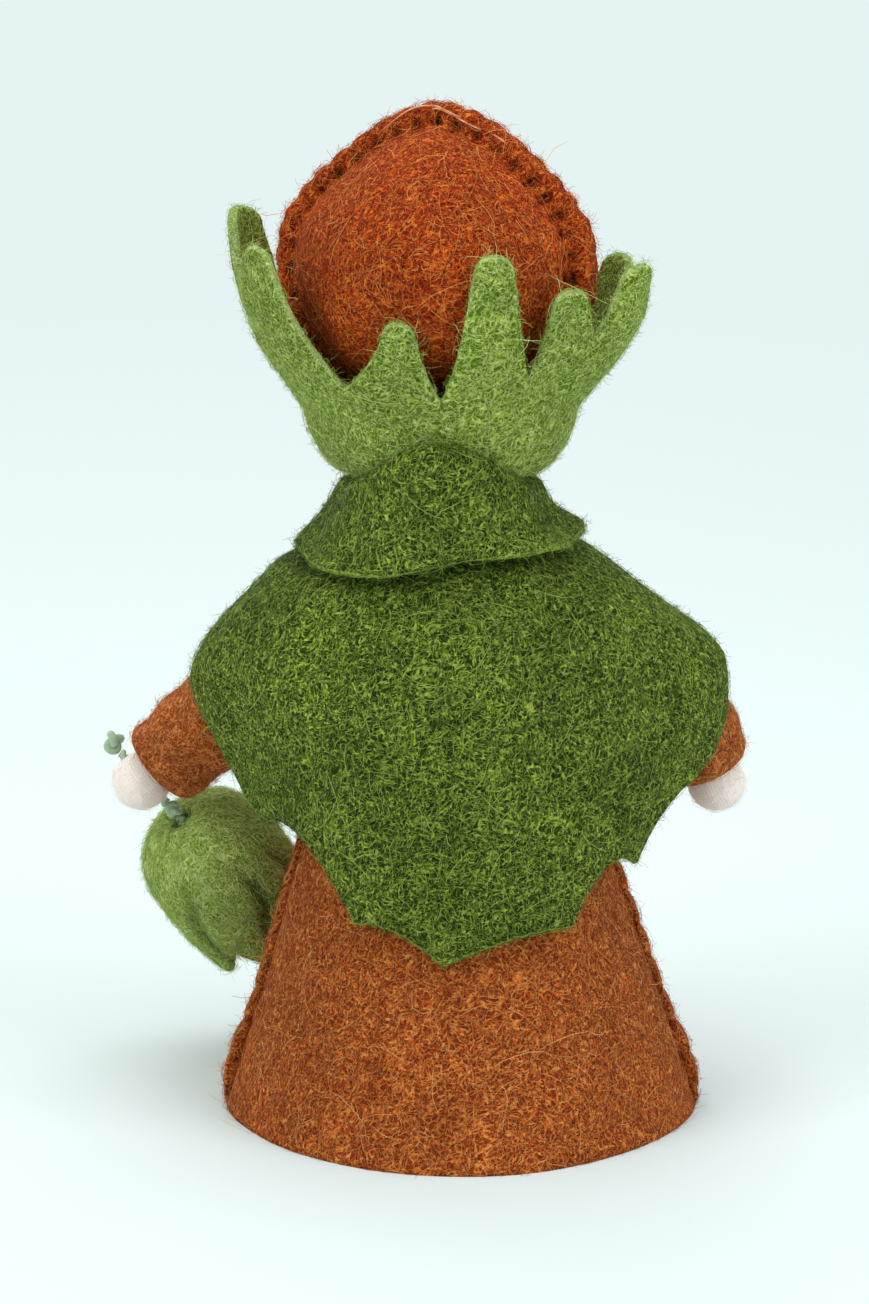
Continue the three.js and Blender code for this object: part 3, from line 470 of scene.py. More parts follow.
def drifting(tree, still):
    """Coordinates that wander by a millimetre or so, which bends every line drawn in them."""
    waves = {"Vector": still, "Scale": 1 / (DRIFT_WAVE * MM), "Detail": 1.0}
    drift = add(tree, "ShaderNodeTexNoise", waves).outputs["Color"]
    drift = add(tree, "ShaderNodeVectorMath", {0: drift, 1: (0.5, 0.5, 0.5)}, operation="SUBTRACT")
    reach = (DRIFT_REACH * MM,) * 3
    return add(tree, "ShaderNodeVectorMath", {0: drift, 1: reach, 2: still}, operation="MULTIPLY_ADD")


# %% Felt and loose wool
MAT_WAVE, TONE_WAVE, CLOUD_WAVE = 0.22, 0.3, 7
# How much the painted shade in dents darkens the felt.
DENT_SHADE_STRENGTH = -0.85


def felt(name, deep, body, light, glow, mottle=0.16):
    """Matt wool felt: deep is painted shade between the fibres, body is the wool, light and glow are its
    fibres' pale tones, partly painted highlight.
    """
    material, tree = new_material(name)
    still = add(tree, "ShaderNodeTexCoord").outputs["Object"]
    spot = drifting(tree, still)
    fibres = None
    for number, (lay, spacing, strength) in enumerate(zip(LAYS, LINE_SPACINGS, LINE_STRENGTHS)):
        line = fibre_lines(tree, spot, lay, spacing, 3 * number + 1)
        line = add(tree, "ShaderNodeMath", {0: line, 1: strength}, operation="MULTIPLY")
        if fibres is None:
            fibres = line
        else:
            fibres = add(tree, "ShaderNodeMath", {0: fibres, 1: line}, operation="MAXIMUM")
    # Painted shade between the fibres: this noise mixes the colour from deep to body, and the same mat raises
    # the bump.
    depth = add(tree, "ShaderNodeTexNoise", {
        "Vector": spot, "Scale": 1 / (MAT_WAVE * MM), "Detail": 2.0, "Roughness": 0.6})
    gap_shade_and_depth = add(tree, "ShaderNodeMapRange", {"Value": depth, "From Min": 0.34, "From Max": 0.68})
    ends = {6: linear(deep), 7: linear(body)}
    ground_with_gap_shade = add(tree, "ShaderNodeMix", {0: gap_shade_and_depth, **ends}, data_type="RGBA").outputs[2]
    # The fibre lines take the wool's two pale tones, made bright enough to carry some painted highlight.
    hue = add(tree, "ShaderNodeTexNoise", {"Vector": spot, "Scale": 1 / (TONE_WAVE * MM), "Detail": 1.0})
    pick = add(tree, "ShaderNodeMapRange", {"Value": hue, "From Min": 0.42, "From Max": 0.62})
    ends = {6: linear(light), 7: linear(glow)}
    hair = add(tree, "ShaderNodeMix", {0: pick, **ends}, data_type="RGBA").outputs[2]
    wool = add(tree, "ShaderNodeMix", {0: fibres, 6: ground_with_gap_shade, 7: hair}, data_type="RGBA").outputs[2]
    cloud = add(tree, "ShaderNodeTexNoise", {"Vector": still, "Scale": 1 / (CLOUD_WAVE * MM), "Detail": 2.0})
    ends = {"From Min": 0.25, "From Max": 0.75, "To Min": 1 - mottle, "To Max": 1 + mottle}
    tone = add(tree, "ShaderNodeMapRange", {"Value": cloud, **ends})
    # Painted shade in dents: the stored dent share darkens the colour by up to 85 percent.
    sunk = add(tree, "ShaderNodeAttribute", attribute_name="sunk").outputs["Fac"]
    shade = add(tree, "ShaderNodeMath", {0: sunk, 1: DENT_SHADE_STRENGTH, 2: 1.0}, operation="MULTIPLY_ADD")
    tone = add(tree, "ShaderNodeMath", {0: tone, 1: shade}, operation="MULTIPLY")
    colour = add(tree, "ShaderNodeVectorMath", {0: wool, "Scale": tone}, operation="SCALE")
    height = add(tree, "ShaderNodeMath", {0: fibres, 1: 0.7, 2: gap_shade_and_depth}, operation="MULTIPLY_ADD")
    bump = add(tree, "ShaderNodeBump", {"Height": height, "Strength": 0.9, "Distance": 0.12 * MM})
    shader = add(tree, "ShaderNodeBsdfPrincipled", {
        "Base Color": colour, "Roughness": 0.85, "Normal": bump, "Specular IOR Level": 0.15,
        "Sheen Weight": 0.04, "Sheen Roughness": 0.5, "Sheen Tint": linear(light)})
    add(tree, "ShaderNodeOutputMaterial", {"Surface": shader})
    return material


def plain_wool(name, colour, sheen=0.05):
    """One loose fibre's colour; a single fibre is too thin to show a pattern of its own."""
    material, tree = new_material(name)
    shader = add(tree, "ShaderNodeBsdfPrincipled", {
        "Base Color": linear(colour), "Roughness": 0.45, "Specular IOR Level": 0.32,
        "Sheen Weight": sheen, "Sheen Tint": linear(colour)})
    add(tree, "ShaderNodeOutputMaterial", {"Surface": shader})
    return material

# %% The felts of the doll and their loose wool
felts = {
    "dress": felt("dress_felt_rust_brown", "#561B06", "#9E3E0C", "#CE6520", "#EA9A4E"),
    "dress_edge": felt("dress_felt_cut_edge", "#8A3C10", "#B95E20", "#D88642", "#E9A868"),
    "sleeve": felt("sleeve_felt_rust", "#6E2A0A", "#AE4E14", "#D2742E", "#E39A58"),
    "hat": felt("hat_felt_rust_orange", "#4A0D02", "#A22D03", "#D1500E", "#EA8A34", mottle=0.2),
    "cape": felt("cape_felt_moss_green", "#0F1902", "#304607", "#66831E", "#B0C152", mottle=0.24),
    "cape_edge": felt("cape_felt_cut_edge", "#47610F", "#789427", "#A3BA48", "#C6D46E"),
    "husk": felt("husk_felt_leaf_green", "#3C570B", "#719124", "#A6BF4C", "#D2DF88", mottle=0.18),
    "husk_edge": felt("husk_felt_cut_edge", "#7C9C3E", "#A2BE5E", "#C2D688", "#D8E4A8"),
    "nut_husk": felt("nut_husk_felt_olive", "#557218", "#94B444", "#C2D66E", "#DAE596", mottle=0.25),
    "nut": felt("nut_felt_brown", "#4A2408", "#7A4418", "#A06A34", "#BC8A54"),
}
WOOL_TONES = {
    "dress": ("#722B08", "#B05119", "#DE9650"),
    "sleeve": ("#7E3410", "#BA6024", "#DB9A5C"),
    "hat": ("#741D04", "#BE4309", "#E58F42"),
    "cape": ("#203004", "#47610E", "#98AE46"),
    "husk": ("#5D7E1C", "#8EAD3F", "#C8D884"),
    "hand": ("#EBD8CC", "#F6EAE0", "#FFFAF5"),
    "nut_husk": ("#74942A", "#A8C458", "#D2E094"),
}
TONES = ("dark", "mid", "pale")
loose = {
    wool: [plain_wool(f"{wool}_fibre_{tone}", colour) for tone, colour in zip(TONES, colours)]
    for wool, colours in WOOL_TONES.items()
}
print(len(felts), "felts and", len(loose), "sorts of loose wool")

# %% [markdown]
# A loose fibre is a thin bent tube of three sides, with its ends pressed into the mat. Eight shapes are
# enough: four short ones lie almost flat, two curl up in an arch, one is long and one stands up, as the
# stray hairs do along the outline of the real doll. Each shape is drawn once and repeated thousands of
# times.

# %% Fibre shapes
FIBRE_RADIUS = 0.018
LONGEST_STEPS, FLAT_SHAPES = 5, 4
ARCHES = [(3, 1.1, 2.4, 0.3), (3, 1.3, -2.8, 0.4), (LONGEST_STEPS, 2.9, 2.4, 0.25)]
UPRIGHT = (3, 0.8, 1.6, None)


def tube(path, radius, sides=3, close=True):
    """Points and faces of a round tube along a path; radius is one value or one for each point."""
    path = np.asarray(path, float)
    radius = np.broadcast_to(radius, len(path))
    forward = unit(np.gradient(path, axis=0))
    side = np.zeros_like(path)
    side[0] = unit(np.cross(forward[0], (0, 0, 1) if abs(forward[0][2]) < 0.9 else (1, 0, 0)))
    for i in range(1, len(path)):
        side[i] = unit(side[i - 1] - forward[i] * side[i - 1].dot(forward[i]))
    other = np.cross(forward, side)
    turn = circle(sides)
    ring = np.cos(turn)[None, :, None] * side[:, None] + np.sin(turn)[None, :, None] * other[:, None]
    points = (path[:, None] + ring * radius[:, None, None]).reshape(-1, 3)
    faces = []
    for i in range(len(path) - 1):
        for j in range(sides):
            a, b = i * sides + j, i * sides + (j + 1) % sides
            faces.append((a, b, b + sides, a + sides))
    if close:
        faces.append(tuple(range(sides))[::-1])
        faces.append(tuple(range(len(points) - sides, len(points))))
    return points, faces


def joined(tubes):
    """Several tubes as one list of points and one of faces."""
    points, faces, total = [], [], 0
    for new_points, new_faces in tubes:
        faces += [tuple(i + total for i in face) for face in new_faces]
        points.append(new_points)
        total += len(new_points)
    return np.concatenate(points), faces


def loop_of_thread(name, line, radius, material):
    """A closed loop of thread along a line of points."""
    sides = 8
    points, faces = tube(line, radius, sides, close=False)
    last = len(points) - sides
    wrap = [(last + j, last + (j + 1) % sides, (j + 1) % sides, j) for j in range(sides)]
    return finished(name, place(points), faces + wrap, [material])


def shape_object(name, points, faces):
    """A small shape round the origin, for Geometry Nodes to repeat."""
    mesh = bpy.data.meshes.new(name)
    mesh.from_pydata([tuple(p * MM) for p in points], [], faces)
    return bpy.data.objects.new(name, mesh)

# %% The eight fibres
def fibre_shapes():
    shapes = bpy.data.collections.new("fibre_shapes")
    draw = np.random.default_rng(11)
    kinds = []
    for _ in range(FLAT_SHAPES):
        kinds.append((3, draw.uniform(1.1, 1.9), draw.uniform(-1.8, 1.8), draw.uniform(0.06, 0.13)))
    for number, (steps, length, curl, lift) in enumerate([*kinds, *ARCHES, UPRIGHT]):
        s = np.linspace(0, 1, steps + 1)
        heading = curl * (s - 0.5) + 0.4 * np.sin(5 * s + number)
        x = np.cumsum(np.cos(heading)) * (length / steps)
        y = np.cumsum(np.sin(heading)) * (length / steps)
        if lift is None:
            z = 0.75 * s - 0.1
        else:
            z = lift * np.sin(np.pi * s) - 0.05
            x, y = x - x.mean(), y - y.mean()
        radius = FIBRE_RADIUS * (1 - 0.5 * np.abs(2 * s - 1) ** 2)
        points, faces = tube(np.stack([x, y, z], -1), radius, close=False)
        shapes.objects.link(shape_object(f"fibre_{number}", points, faces))
    return shapes


FIBRES = fibre_shapes()

# %% [markdown]
# Geometry Nodes scatter the fibres. Points fall at random on the faces, thicker where the fuzz weight is
# high. Each point gets one of the eight curls, turned at random about the surface's normal and tipped a
# little. A random tone picks the dark, middle or pale wool. The result is turned into a plain mesh that
# rides as the felt does.

# %% Scattering fibres
def declare(tree, wanted, result):
    """Names the inputs and the output of a Geometry Nodes tree, and gives back the inputs."""
    for kind, names in wanted.items():
        for name in names:
            tree.interface.new_socket(name, in_out="INPUT", socket_type="NodeSocket" + kind)
    tree.interface.new_socket(result, in_out="OUTPUT", socket_type="NodeSocketGeometry")
    return add(tree, "NodeGroupInput").outputs


def scatter_tree():
    tree = bpy.data.node_groups.new("scatter_fibres", "GeometryNodeTree")
    given = declare(tree, {
        "Geometry": ("Felt",), "Int": ("Seed",),
        "Float": ("Density", "Size", "Tilt", "Comb", "Pale share", "Dark share"),
        "Material": ("Dark wool", "Middle wool", "Pale wool")}, "Fibres")
    seed = {"Seed": given["Seed"]}
    fuzz = add(tree, "GeometryNodeInputNamedAttribute", {"Name": "fuzz"}, data_type="FLOAT")
    density = add(tree, "ShaderNodeMath", {0: given["Density"], 1: fuzz}, operation="MULTIPLY")
    spots = add(tree, "GeometryNodeDistributePointsOnFaces", {
        "Mesh": given["Felt"], "Density": density, **seed})
    spin = add(tree, "FunctionNodeRandomValue", {"Min": (-1, -1, -math.pi), "Max": (1, 1, math.pi), **seed},
               data_type="FLOAT_VECTOR")
    free = add(tree, "ShaderNodeMath", {0: 1.0, 1: given["Comb"]}, operation="SUBTRACT")
    limits = add(tree, "ShaderNodeCombineXYZ", {"X": given["Tilt"], "Y": given["Tilt"], "Z": free})
    angles = add(tree, "ShaderNodeVectorMath", {0: spin, 1: limits}, operation="MULTIPLY")
    turned = add(tree, "FunctionNodeEulerToRotation", {0: angles})
    combed = add(tree, "GeometryNodeInputNamedAttribute", {"Name": "comb"}, data_type="FLOAT_VECTOR")
    base = add(tree, "FunctionNodeAxesToRotation", {0: spots.outputs["Normal"], 1: combed}, primary_axis="Z",
               secondary_axis="X")
    facing = add(tree, "FunctionNodeRotateRotation", {0: base, 1: turned}, rotation_space="LOCAL")
    numbers = {"Min": 0, "Max": len(FIBRES.objects) - 1, **seed}
    pick = add(tree, "FunctionNodeRandomValue", numbers, data_type="INT").outputs[2]
    shape = add(tree, "GeometryNodeCollectionInfo", {
        "Collection": FIBRES, "Separate Children": True, "Reset Children": True})
    chance = add(tree, "FunctionNodeRandomValue", seed, data_type="FLOAT").outputs[1]
    rare = add(tree, "ShaderNodeMath", {0: chance, 1: 14.0}, operation="POWER")
    usual = add(tree, "ShaderNodeMath", {0: chance, 1: 0.6, 2: 0.65}, operation="MULTIPLY_ADD")
    grow = add(tree, "ShaderNodeMath", {0: rare, 1: usual}, operation="ADD")
    length = add(tree, "ShaderNodeMath", {0: grow, 1: given["Size"]}, operation="MULTIPLY")
    size = add(tree, "ShaderNodeCombineXYZ", {"X": length, "Y": given["Size"], "Z": 1.0})
    strewn = add(tree, "GeometryNodeInstanceOnPoints", {
        "Points": spots, "Instance": shape, "Pick Instance": True, "Instance Index": pick, "Rotation": facing,
        "Scale": size})
    tone = add(tree, "FunctionNodeRandomValue", seed, data_type="FLOAT").outputs[1]
    kept = add(tree, "GeometryNodeStoreNamedAttribute", {"Geometry": strewn, "Name": "tone", "Value": tone},
               data_type="FLOAT", domain="INSTANCE")
    wool = add(tree, "GeometryNodeRealizeInstances", {0: kept})
    shade = add(tree, "GeometryNodeInputNamedAttribute", {"Name": "tone"}, data_type="FLOAT")
    pale_from = add(tree, "ShaderNodeMath", {0: 1.0, 1: given["Pale share"]}, operation="SUBTRACT")
    is_dark = add(tree, "FunctionNodeCompare", {0: shade, 1: given["Dark share"]}, data_type="FLOAT",
                  operation="LESS_THAN")
    is_pale = add(tree, "FunctionNodeCompare", {0: shade, 1: pale_from}, data_type="FLOAT",
                  operation="GREATER_THAN")
    chosen = {"Middle wool": {}, "Dark wool": {"Selection": is_dark}, "Pale wool": {"Selection": is_pale}}
    for colour, where in chosen.items():
        wool = add(tree, "GeometryNodeSetMaterial", {"Geometry": wool, "Material": given[colour], **where})
    add(tree, "NodeGroupOutput", {"Fibres": wool})
    return tree


SCATTER = scatter_tree()
print("the scattering tree has", len(SCATTER.nodes), "nodes")

# %% Fibres on a piece of felt
FLOOR_GAP, FLOOR_SQUASH = 0.05, 0.02


def made_plain(source, name, modifier, **values):
    """Sets a modifier's inputs, and turns what it makes into a plain mesh object of its own."""
    for label, value in values.items():
        wanted = label.replace("_", " ").capitalize()
        sockets = modifier.node_group.interface.items_tree
        modifier[next(s for s in sockets if s.name == wanted and s.in_out == "INPUT").identifier] = value
    bpy.context.view_layer.update()
    graph = bpy.context.evaluated_depsgraph_get()
    mesh = bpy.data.meshes.new_from_object(source.evaluated_get(graph))
    mesh.name = name
    source.modifiers.remove(modifier)
    made = bpy.data.objects.new(name, mesh)
    bpy.context.collection.objects.link(made)
    return made


def nodes_on(piece, group):
    modifier = piece.modifiers.new(group.name, "NODES")
    modifier.node_group = group
    return modifier


def fibres_on(piece, wool, density, seed, size=1.0, tilt=0.2, comb=0.0, pale=0.16, dark=0.3, along=(0, 0, 1),
              word="fibres"):
    """Loose fibres over a piece of felt; density is in fibres for each square millimetre. Those that
    would reach under the floor are laid flat on it."""
    store(piece.data, "comb", np.tile(along, len(piece.data.vertices)), "FLOAT_VECTOR")
    dark_wool, middle_wool, pale_wool = loose[wool]
    made = made_plain(
        piece, f"{piece.name}_{word}", nodes_on(piece, SCATTER), density=density / MM**2, seed=seed,
        size=size, tilt=tilt, comb=comb, pale_share=pale, dark_share=dark, dark_wool=dark_wool,
        middle_wool=middle_wool, pale_wool=pale_wool)
    spots = points_of(made)
    spots[:, 2] = np.maximum(spots[:, 2], FLOOR_GAP * MM + FLOOR_SQUASH * spots[:, 2])
    made.data.vertices.foreach_set("co", spots.ravel())
    made.data.update()
    return made


def stray_hairs(piece, wool, seed, density=0.16):
    """A few long pale hairs that curl over the felt, thicker than the rest."""
    return fibres_on(piece, wool, density, seed, size=2.1, tilt=0.12, pale=0.8, dark=0.0, word="stray_hairs")


# %% [markdown]
# The dress is a flattened cone of two panels. Down each side their edges lie face to face as a narrow seam,
# sewn over with dark thread. Each stitch pulls the edge in a little, which gives the seam its wavy line.
# The panel's middle is written as a formula in the angle round the doll and the height, as in the CAD
# model.

# %% Dress sizes and shape
EASE = 0.3
HEM_WIDTH, HEM_DEPTH, DRESS_HEIGHT = 48.0, 45.0, 58.8
TOP_WIDTH, TOP_DEPTH = 11.2, 10.6
SEAM_LIP, FULLNESS, DRESS_CURVE, LEAN = 1.2, 1.2, 1.02, 2.2
LIP_Y = (FELT + EASE) / 2
STITCH_GAP, SEAM_TOP = 3.3, 50
HEM_ROUNDING, HEM_FLARE = 2.4, 5


def lean(z):
    return LEAN * np.clip(np.asarray(z, float) / DRESS_HEIGHT, 0, 1) ** 1.5


def dress_half(z, top, hem):
    return (top + (hem - top) * (1 - np.asarray(z) / DRESS_HEIGHT) ** DRESS_CURVE) / 2


def seam_pull(heights):
    """How hard the stitches pull at each height, from 0 between stitches to 1 at one."""
    return np.abs(np.sin(np.pi * heights / STITCH_GAP)) ** 8


def from_ends(grid):
    """How many rows each row of a grid is away from the nearer end."""
    return np.minimum(np.arange(len(grid)), np.arange(len(grid))[::-1])

# %% The middle of a dress panel
def dress_panel(side):
    heights = np.linspace(0, DRESS_HEIGHT, 178)
    width = dress_half(heights, TOP_WIDTH, HEM_WIDTH)
    depth = dress_half(heights, TOP_DEPTH, HEM_DEPTH)
    pull = 0.3 * seam_pull(heights) + 0.9 * np.clip(1 - heights / HEM_ROUNDING, 0, 1) ** 2
    pull = pull - 0.6 * bell(heights - HEM_FLARE, 3.5)
    rows = []
    for way in (-1, 1):
        lips = []
        for share in np.linspace(1, 0, 5)[:-1]:
            x = lean(heights) + way * (width - SEAM_LIP + share * (SEAM_LIP - pull))
            lips.append(np.stack([x, np.full_like(x, side * LIP_Y), heights], -1))
        rows.append(lips if way < 0 else lips[::-1])
    angles = np.radians(np.linspace(-90, 90, 73))[:, None]
    y = LIP_Y + (depth - FELT / 2 - LIP_Y) * np.maximum(np.cos(angles), 0) ** FULLNESS
    x = lean(heights) + (width - SEAM_LIP) * np.sin(angles)
    z = np.broadcast_to(heights, x.shape)
    middle = np.concatenate([rows[0], np.stack([x, side * y, z], -1), rows[1]])
    soft = 0.22 * lumps(middle, 9, 3 + side) + 0.07 * lumps(middle, 2.2, 5 + side)
    fade = np.clip(from_ends(middle) / 8, 0, 1)[:, None]
    normals = unit(sheet_normals(middle, False) * (1, 1, 0))
    return middle + normals * (soft * fade)[..., None]


# %% Dress panels
for side, panel in ((1, "dress_back_panel"), (-1, "dress_front_panel")):
    middle = dress_panel(side)
    # Behind each seam lip the felt is dented and painted darker, most at each stitch: painted shade in the
    # dent.
    behind_lip = bell(from_ends(middle) - 3.6, 1.5)[:, None]
    dent = behind_lip * (0.1 + 0.45 * seam_pull(middle[..., 2]))
    piece = felt_sheet("felt_" + panel, middle, [felts["dress"], felts["dress_edge"]],
                       centre=(0, 0, 30), level=True, fuzz_of=(1.0, 0.1), dent=dent)
    fuzz = fibres_on(piece, "dress", 2.7, 20 + side, pale=0.14)
    strays = stray_hairs(piece, "dress", 120 + side, 0.08)
    assign((piece, fuzz, strays), "dress_felt", "body", panel)

# %% [markdown]
# Sewing thread goes over the seam's edge at each stitch: in at the back, over the edge and in again at the
# front. Geometry Nodes repeat one such loop along the seam's own line, and turn each loop so that it hugs
# the edge. Threads, yarn, jersey and chenille are all made of lines in two close colours that stand up a
# little, so one helper ends their materials.

# %% Thread
def two_tone(tree, pattern, colours, relief, depth, looks):
    """A matt surface whose pattern runs between a dark and a light colour and stands up by a depth."""
    dark, light = colours
    ends = {6: linear(dark), 7: linear(light)}
    tone = add(tree, "ShaderNodeMix", {0: pattern, **ends}, data_type="RGBA").outputs[2]
    bump = add(tree, "ShaderNodeBump", {"Height": pattern, "Strength": relief, "Distance": depth * MM})
    shader = add(tree, "ShaderNodeBsdfPrincipled", {"Base Color": tone, "Normal": bump, **looks})
    add(tree, "ShaderNodeOutputMaterial", {"Surface": shader})


def thread_material(name, colour, dark, twist=0.35):
    """Twisted sewing thread: slanting plies with a soft sheen. The wave texture draws them about 2.3
    times the twist apart in millimetres, which is coarser than real, so that they show."""
    material, tree = new_material(name)
    spot = add(tree, "ShaderNodeTexCoord").outputs["Object"]
    ply = add(tree, "ShaderNodeTexWave", {
        "Vector": spot, "Scale": 1 / (twist * MM) / 6.28, "Distortion": 2.0},
        bands_direction="DIAGONAL").outputs["Fac"]
    two_tone(tree, ply, (dark, colour), 0.5, 0.05, {"Roughness": 0.6, "Sheen Weight": 0.3})
    return material


threads = {
    "brown": thread_material("seam_thread_brown", "#94481A", "#5E2A10"),
    "rust": thread_material("hat_thread_rust", "#B95E2C", "#7A2E10"),
    "orange": thread_material("hat_thread_pale_orange", "#EAA878", "#C9743C"),
    "pale": thread_material("wrist_thread_pale", "#EBD6CE", "#C7A99E"),
    "green": thread_material("cape_thread_green", "#5C7A2C", "#39521A"),
}
print(len(threads), "sewing threads")


# %% Stitches
def stitch_tree():
    tree = bpy.data.node_groups.new("stitch_row", "GeometryNodeTree")
    given = declare(tree, {
        "Geometry": ("Seam",), "Object": ("Stitch",), "Material": ("Thread",), "Int": ("Seed",)}, "Stitches")
    outward, forward = (
        add(tree, "GeometryNodeInputNamedAttribute", {"Name": label}, data_type="FLOAT_VECTOR")
        for label in ("outward", "forward"))
    facing = add(tree, "FunctionNodeAxesToRotation", {0: outward, 1: forward}, primary_axis="X",
                 secondary_axis="Z")
    shake = add(tree, "FunctionNodeRandomValue", {
        0: (-0.25, -0.1, -0.1), 1: (0.25, 0.1, 0.1), "Seed": given["Seed"]}, data_type="FLOAT_VECTOR")
    bent = add(tree, "FunctionNodeEulerToRotation", {0: shake})
    facing = add(tree, "FunctionNodeRotateRotation", {0: facing, 1: bent}, rotation_space="LOCAL")
    shape = add(tree, "GeometryNodeObjectInfo", {"Object": given["Stitch"]}).outputs["Geometry"]
    sewn = add(tree, "GeometryNodeInstanceOnPoints", {
        "Points": given["Seam"], "Instance": shape, "Rotation": facing})
    real = add(tree, "GeometryNodeRealizeInstances", {0: sewn})
    done = add(tree, "GeometryNodeSetMaterial", {"Geometry": real, "Material": given["Thread"]})
    add(tree, "NodeGroupOutput", {"Stitches": done})
    return tree


STITCHING = stitch_tree()
print("the stitching tree has", len(STITCHING.nodes), "nodes")

# %% One stitch, and a row of them
def stitch_shape(name, half_width, depth, radius):
    """A loop over an edge, opening towards -X: half_width to each side of the edge, depth back from it."""
    turn = np.linspace(-0.5 * np.pi, 0.5 * np.pi, 7)
    slant = np.linspace(-0.1, 0.1, 7)
    arc = np.stack([0.3 * half_width * np.cos(turn), half_width * np.sin(turn), slant], -1)
    tail = np.array([[-depth, -half_width * 0.7, -0.3], [-depth * 0.8, -half_width, -0.26]])
    head = np.array([[-depth * 0.8, half_width, 0.26], [-depth, half_width * 0.7, 0.3]])
    points, faces = tube(np.concatenate([tail, arc, head]), radius, sides=6)
    made = shape_object(name, points, faces)
    made.data.polygons.foreach_set("use_smooth", [True] * len(faces))
    return made


def stitch_row(name, spots, outward, forward, shape, thread, seed):
    """Stitches at the spots, each opening away from its outward direction."""
    mesh = bpy.data.meshes.new(name)
    mesh.from_pydata([tuple(p) for p in place(spots)], [], [])
    store(mesh, "outward", outward, "FLOAT_VECTOR")
    store(mesh, "forward", forward, "FLOAT_VECTOR")
    seam = bpy.data.objects.new(name + "_line", mesh)
    bpy.context.collection.objects.link(seam)
    made = made_plain(seam, name, nodes_on(seam, STITCHING), stitch=shape, thread=thread, seed=seed)
    bpy.data.objects.remove(seam)
    made.data.polygons.foreach_set("use_smooth", [True] * len(made.data.polygons))
    return made


# %% Side seams of the dress
dress_stitch = stitch_shape("dress_stitch", LIP_Y + FELT / 2 - 0.36, 0.75, 0.11)
stitch_heights = np.arange(STITCH_GAP / 2, SEAM_TOP, STITCH_GAP)
for way, label in ((-1, "right"), (1, "left")):
    edge = lean(stitch_heights) + way * (dress_half(stitch_heights, TOP_WIDTH, HEM_WIDTH) - 1.15)
    spots = np.stack([edge, np.zeros_like(edge), stitch_heights], -1)
    slope = unit(np.gradient(spots, axis=0))
    outward = np.cross(slope, (0, 1, 0)) * way
    row = stitch_row(f"{label}_seam_stitches", spots, outward, slope, dress_stitch, threads["brown"], 3)
    assign([row], "dress_felt", "body")

# %% [markdown]
# The cape is one leaf-shaped sheet. It starts at the free edge of the turned-down collar, rises to the
# fold, runs down inside to the tied neck and spreads over shoulders and arms to a hem of scallops between
# points. Its lines are tables of radius and height at eleven directions round the doll, joined smoothly.

# %% Collar and cape tables: (radius, height) from the free edge to the neck, and from the neck to the hem
CAPE_Y = -0.5
COLLAR_BACK = [(14.3, 57.0), (15.0, 60.5), (15.2, 64.2), (15.1, 67.2), (14.3, 68.7), (13.4, 67.6),
               (12.2, 64.9), (9.4, 62.6), (7.0, 61.2)]
COLLAR_CORNER = [(15.2, 57.3), (13.6, 59.5), (12.5, 61.8), (12.3, 63.5), (11.8, 64.4), (11.0, 63.7),
                 (10.0, 62.7), (8.5, 62.0), (7.0, 61.1)]
COLLAR_SIDE = [(13.6, 57.6), (11.9, 58.8), (10.4, 60.2), (9.6, 61.7), (9.1, 62.5), (8.5, 62.6), (7.9, 62.2),
               (7.4, 61.7), (6.9, 61.0)]
COLLAR_FRONT = [(11.0, 57.6), (10.6, 59.1), (10.1, 60.4), (9.6, 61.4), (9.0, 62.0), (8.4, 62.1), (7.8, 61.9),
                (7.2, 61.5), (6.8, 60.9)]
BODY_BACK = [(6.7, 60.2), (8.2, 59.2), (10.6, 58.0), (12.5, 55.8), (14.5, 51), (15.9, 44), (17.0, 35),
             (17.7, 27), (18.2, 18)]
BODY_HIP = [(6.7, 60.2), (8.2, 59.2), (10.4, 58.1), (12.9, 55.6), (15.6, 50.4), (17.0, 43.5), (17.6, 35.5),
            (17.9, 28), (18.2, 20)]
BODY_ELBOW = [(6.6, 60.1), (7.9, 59.2), (9.9, 58.3), (13.4, 55.8), (18.2, 50.6), (20.8, 45.4), (21.4, 39.5),
              (20.6, 33.5), (19.2, 27)]
BODY_LEFT_ELBOW = [*BODY_ELBOW[:5], (20.6, 45.4), (20.2, 39.5), (19.2, 33.5), (18.2, 27)]
BODY_LEFT = [(6.5, 60.1), (7.5, 59.3), (9.6, 58.5), (14.0, 56.0), (19.2, 50.9), (23.2, 46.5), (25.0, 42.8),
             (23.6, 38.5), (21.5, 33)]
BODY_RIGHT = [(6.5, 60.1), (7.5, 59.3), (9.6, 58.5), (14.3, 55.8), (20.6, 50.4), (24.5, 47.4), (26.6, 44.9),
              (26.8, 39.5), (26.3, 33)]
BODY_BREAST = [(6.4, 60.0), (7.2, 59.3), (8.8, 58.2), (12.2, 55.6), (16.3, 51.2), (19.5, 47.4), (21.4, 43.8),
               (22.0, 39.5), (22.2, 35)]
BODY_FRONT = [(6.3, 59.9), (6.8, 59.2), (7.8, 57.9), (9.6, 54.9), (11.3, 50.6), (12.6, 46.8), (13.4, 43),
              (13.9, 39), (14.2, 35)]
RIB_ANGLES = [-146, -120, -93, -68, -40, 0, 40, 70, 93, 120, 146]
COLLARS = [COLLAR_FRONT, COLLAR_FRONT, COLLAR_SIDE, COLLAR_SIDE, COLLAR_CORNER, COLLAR_BACK, COLLAR_CORNER,
           COLLAR_SIDE, COLLAR_SIDE, COLLAR_FRONT, COLLAR_FRONT]
BODIES = [BODY_FRONT, BODY_BREAST, BODY_RIGHT, BODY_ELBOW, BODY_HIP, BODY_BACK, BODY_HIP, BODY_LEFT_ELBOW,
          BODY_LEFT, BODY_BREAST, BODY_FRONT]

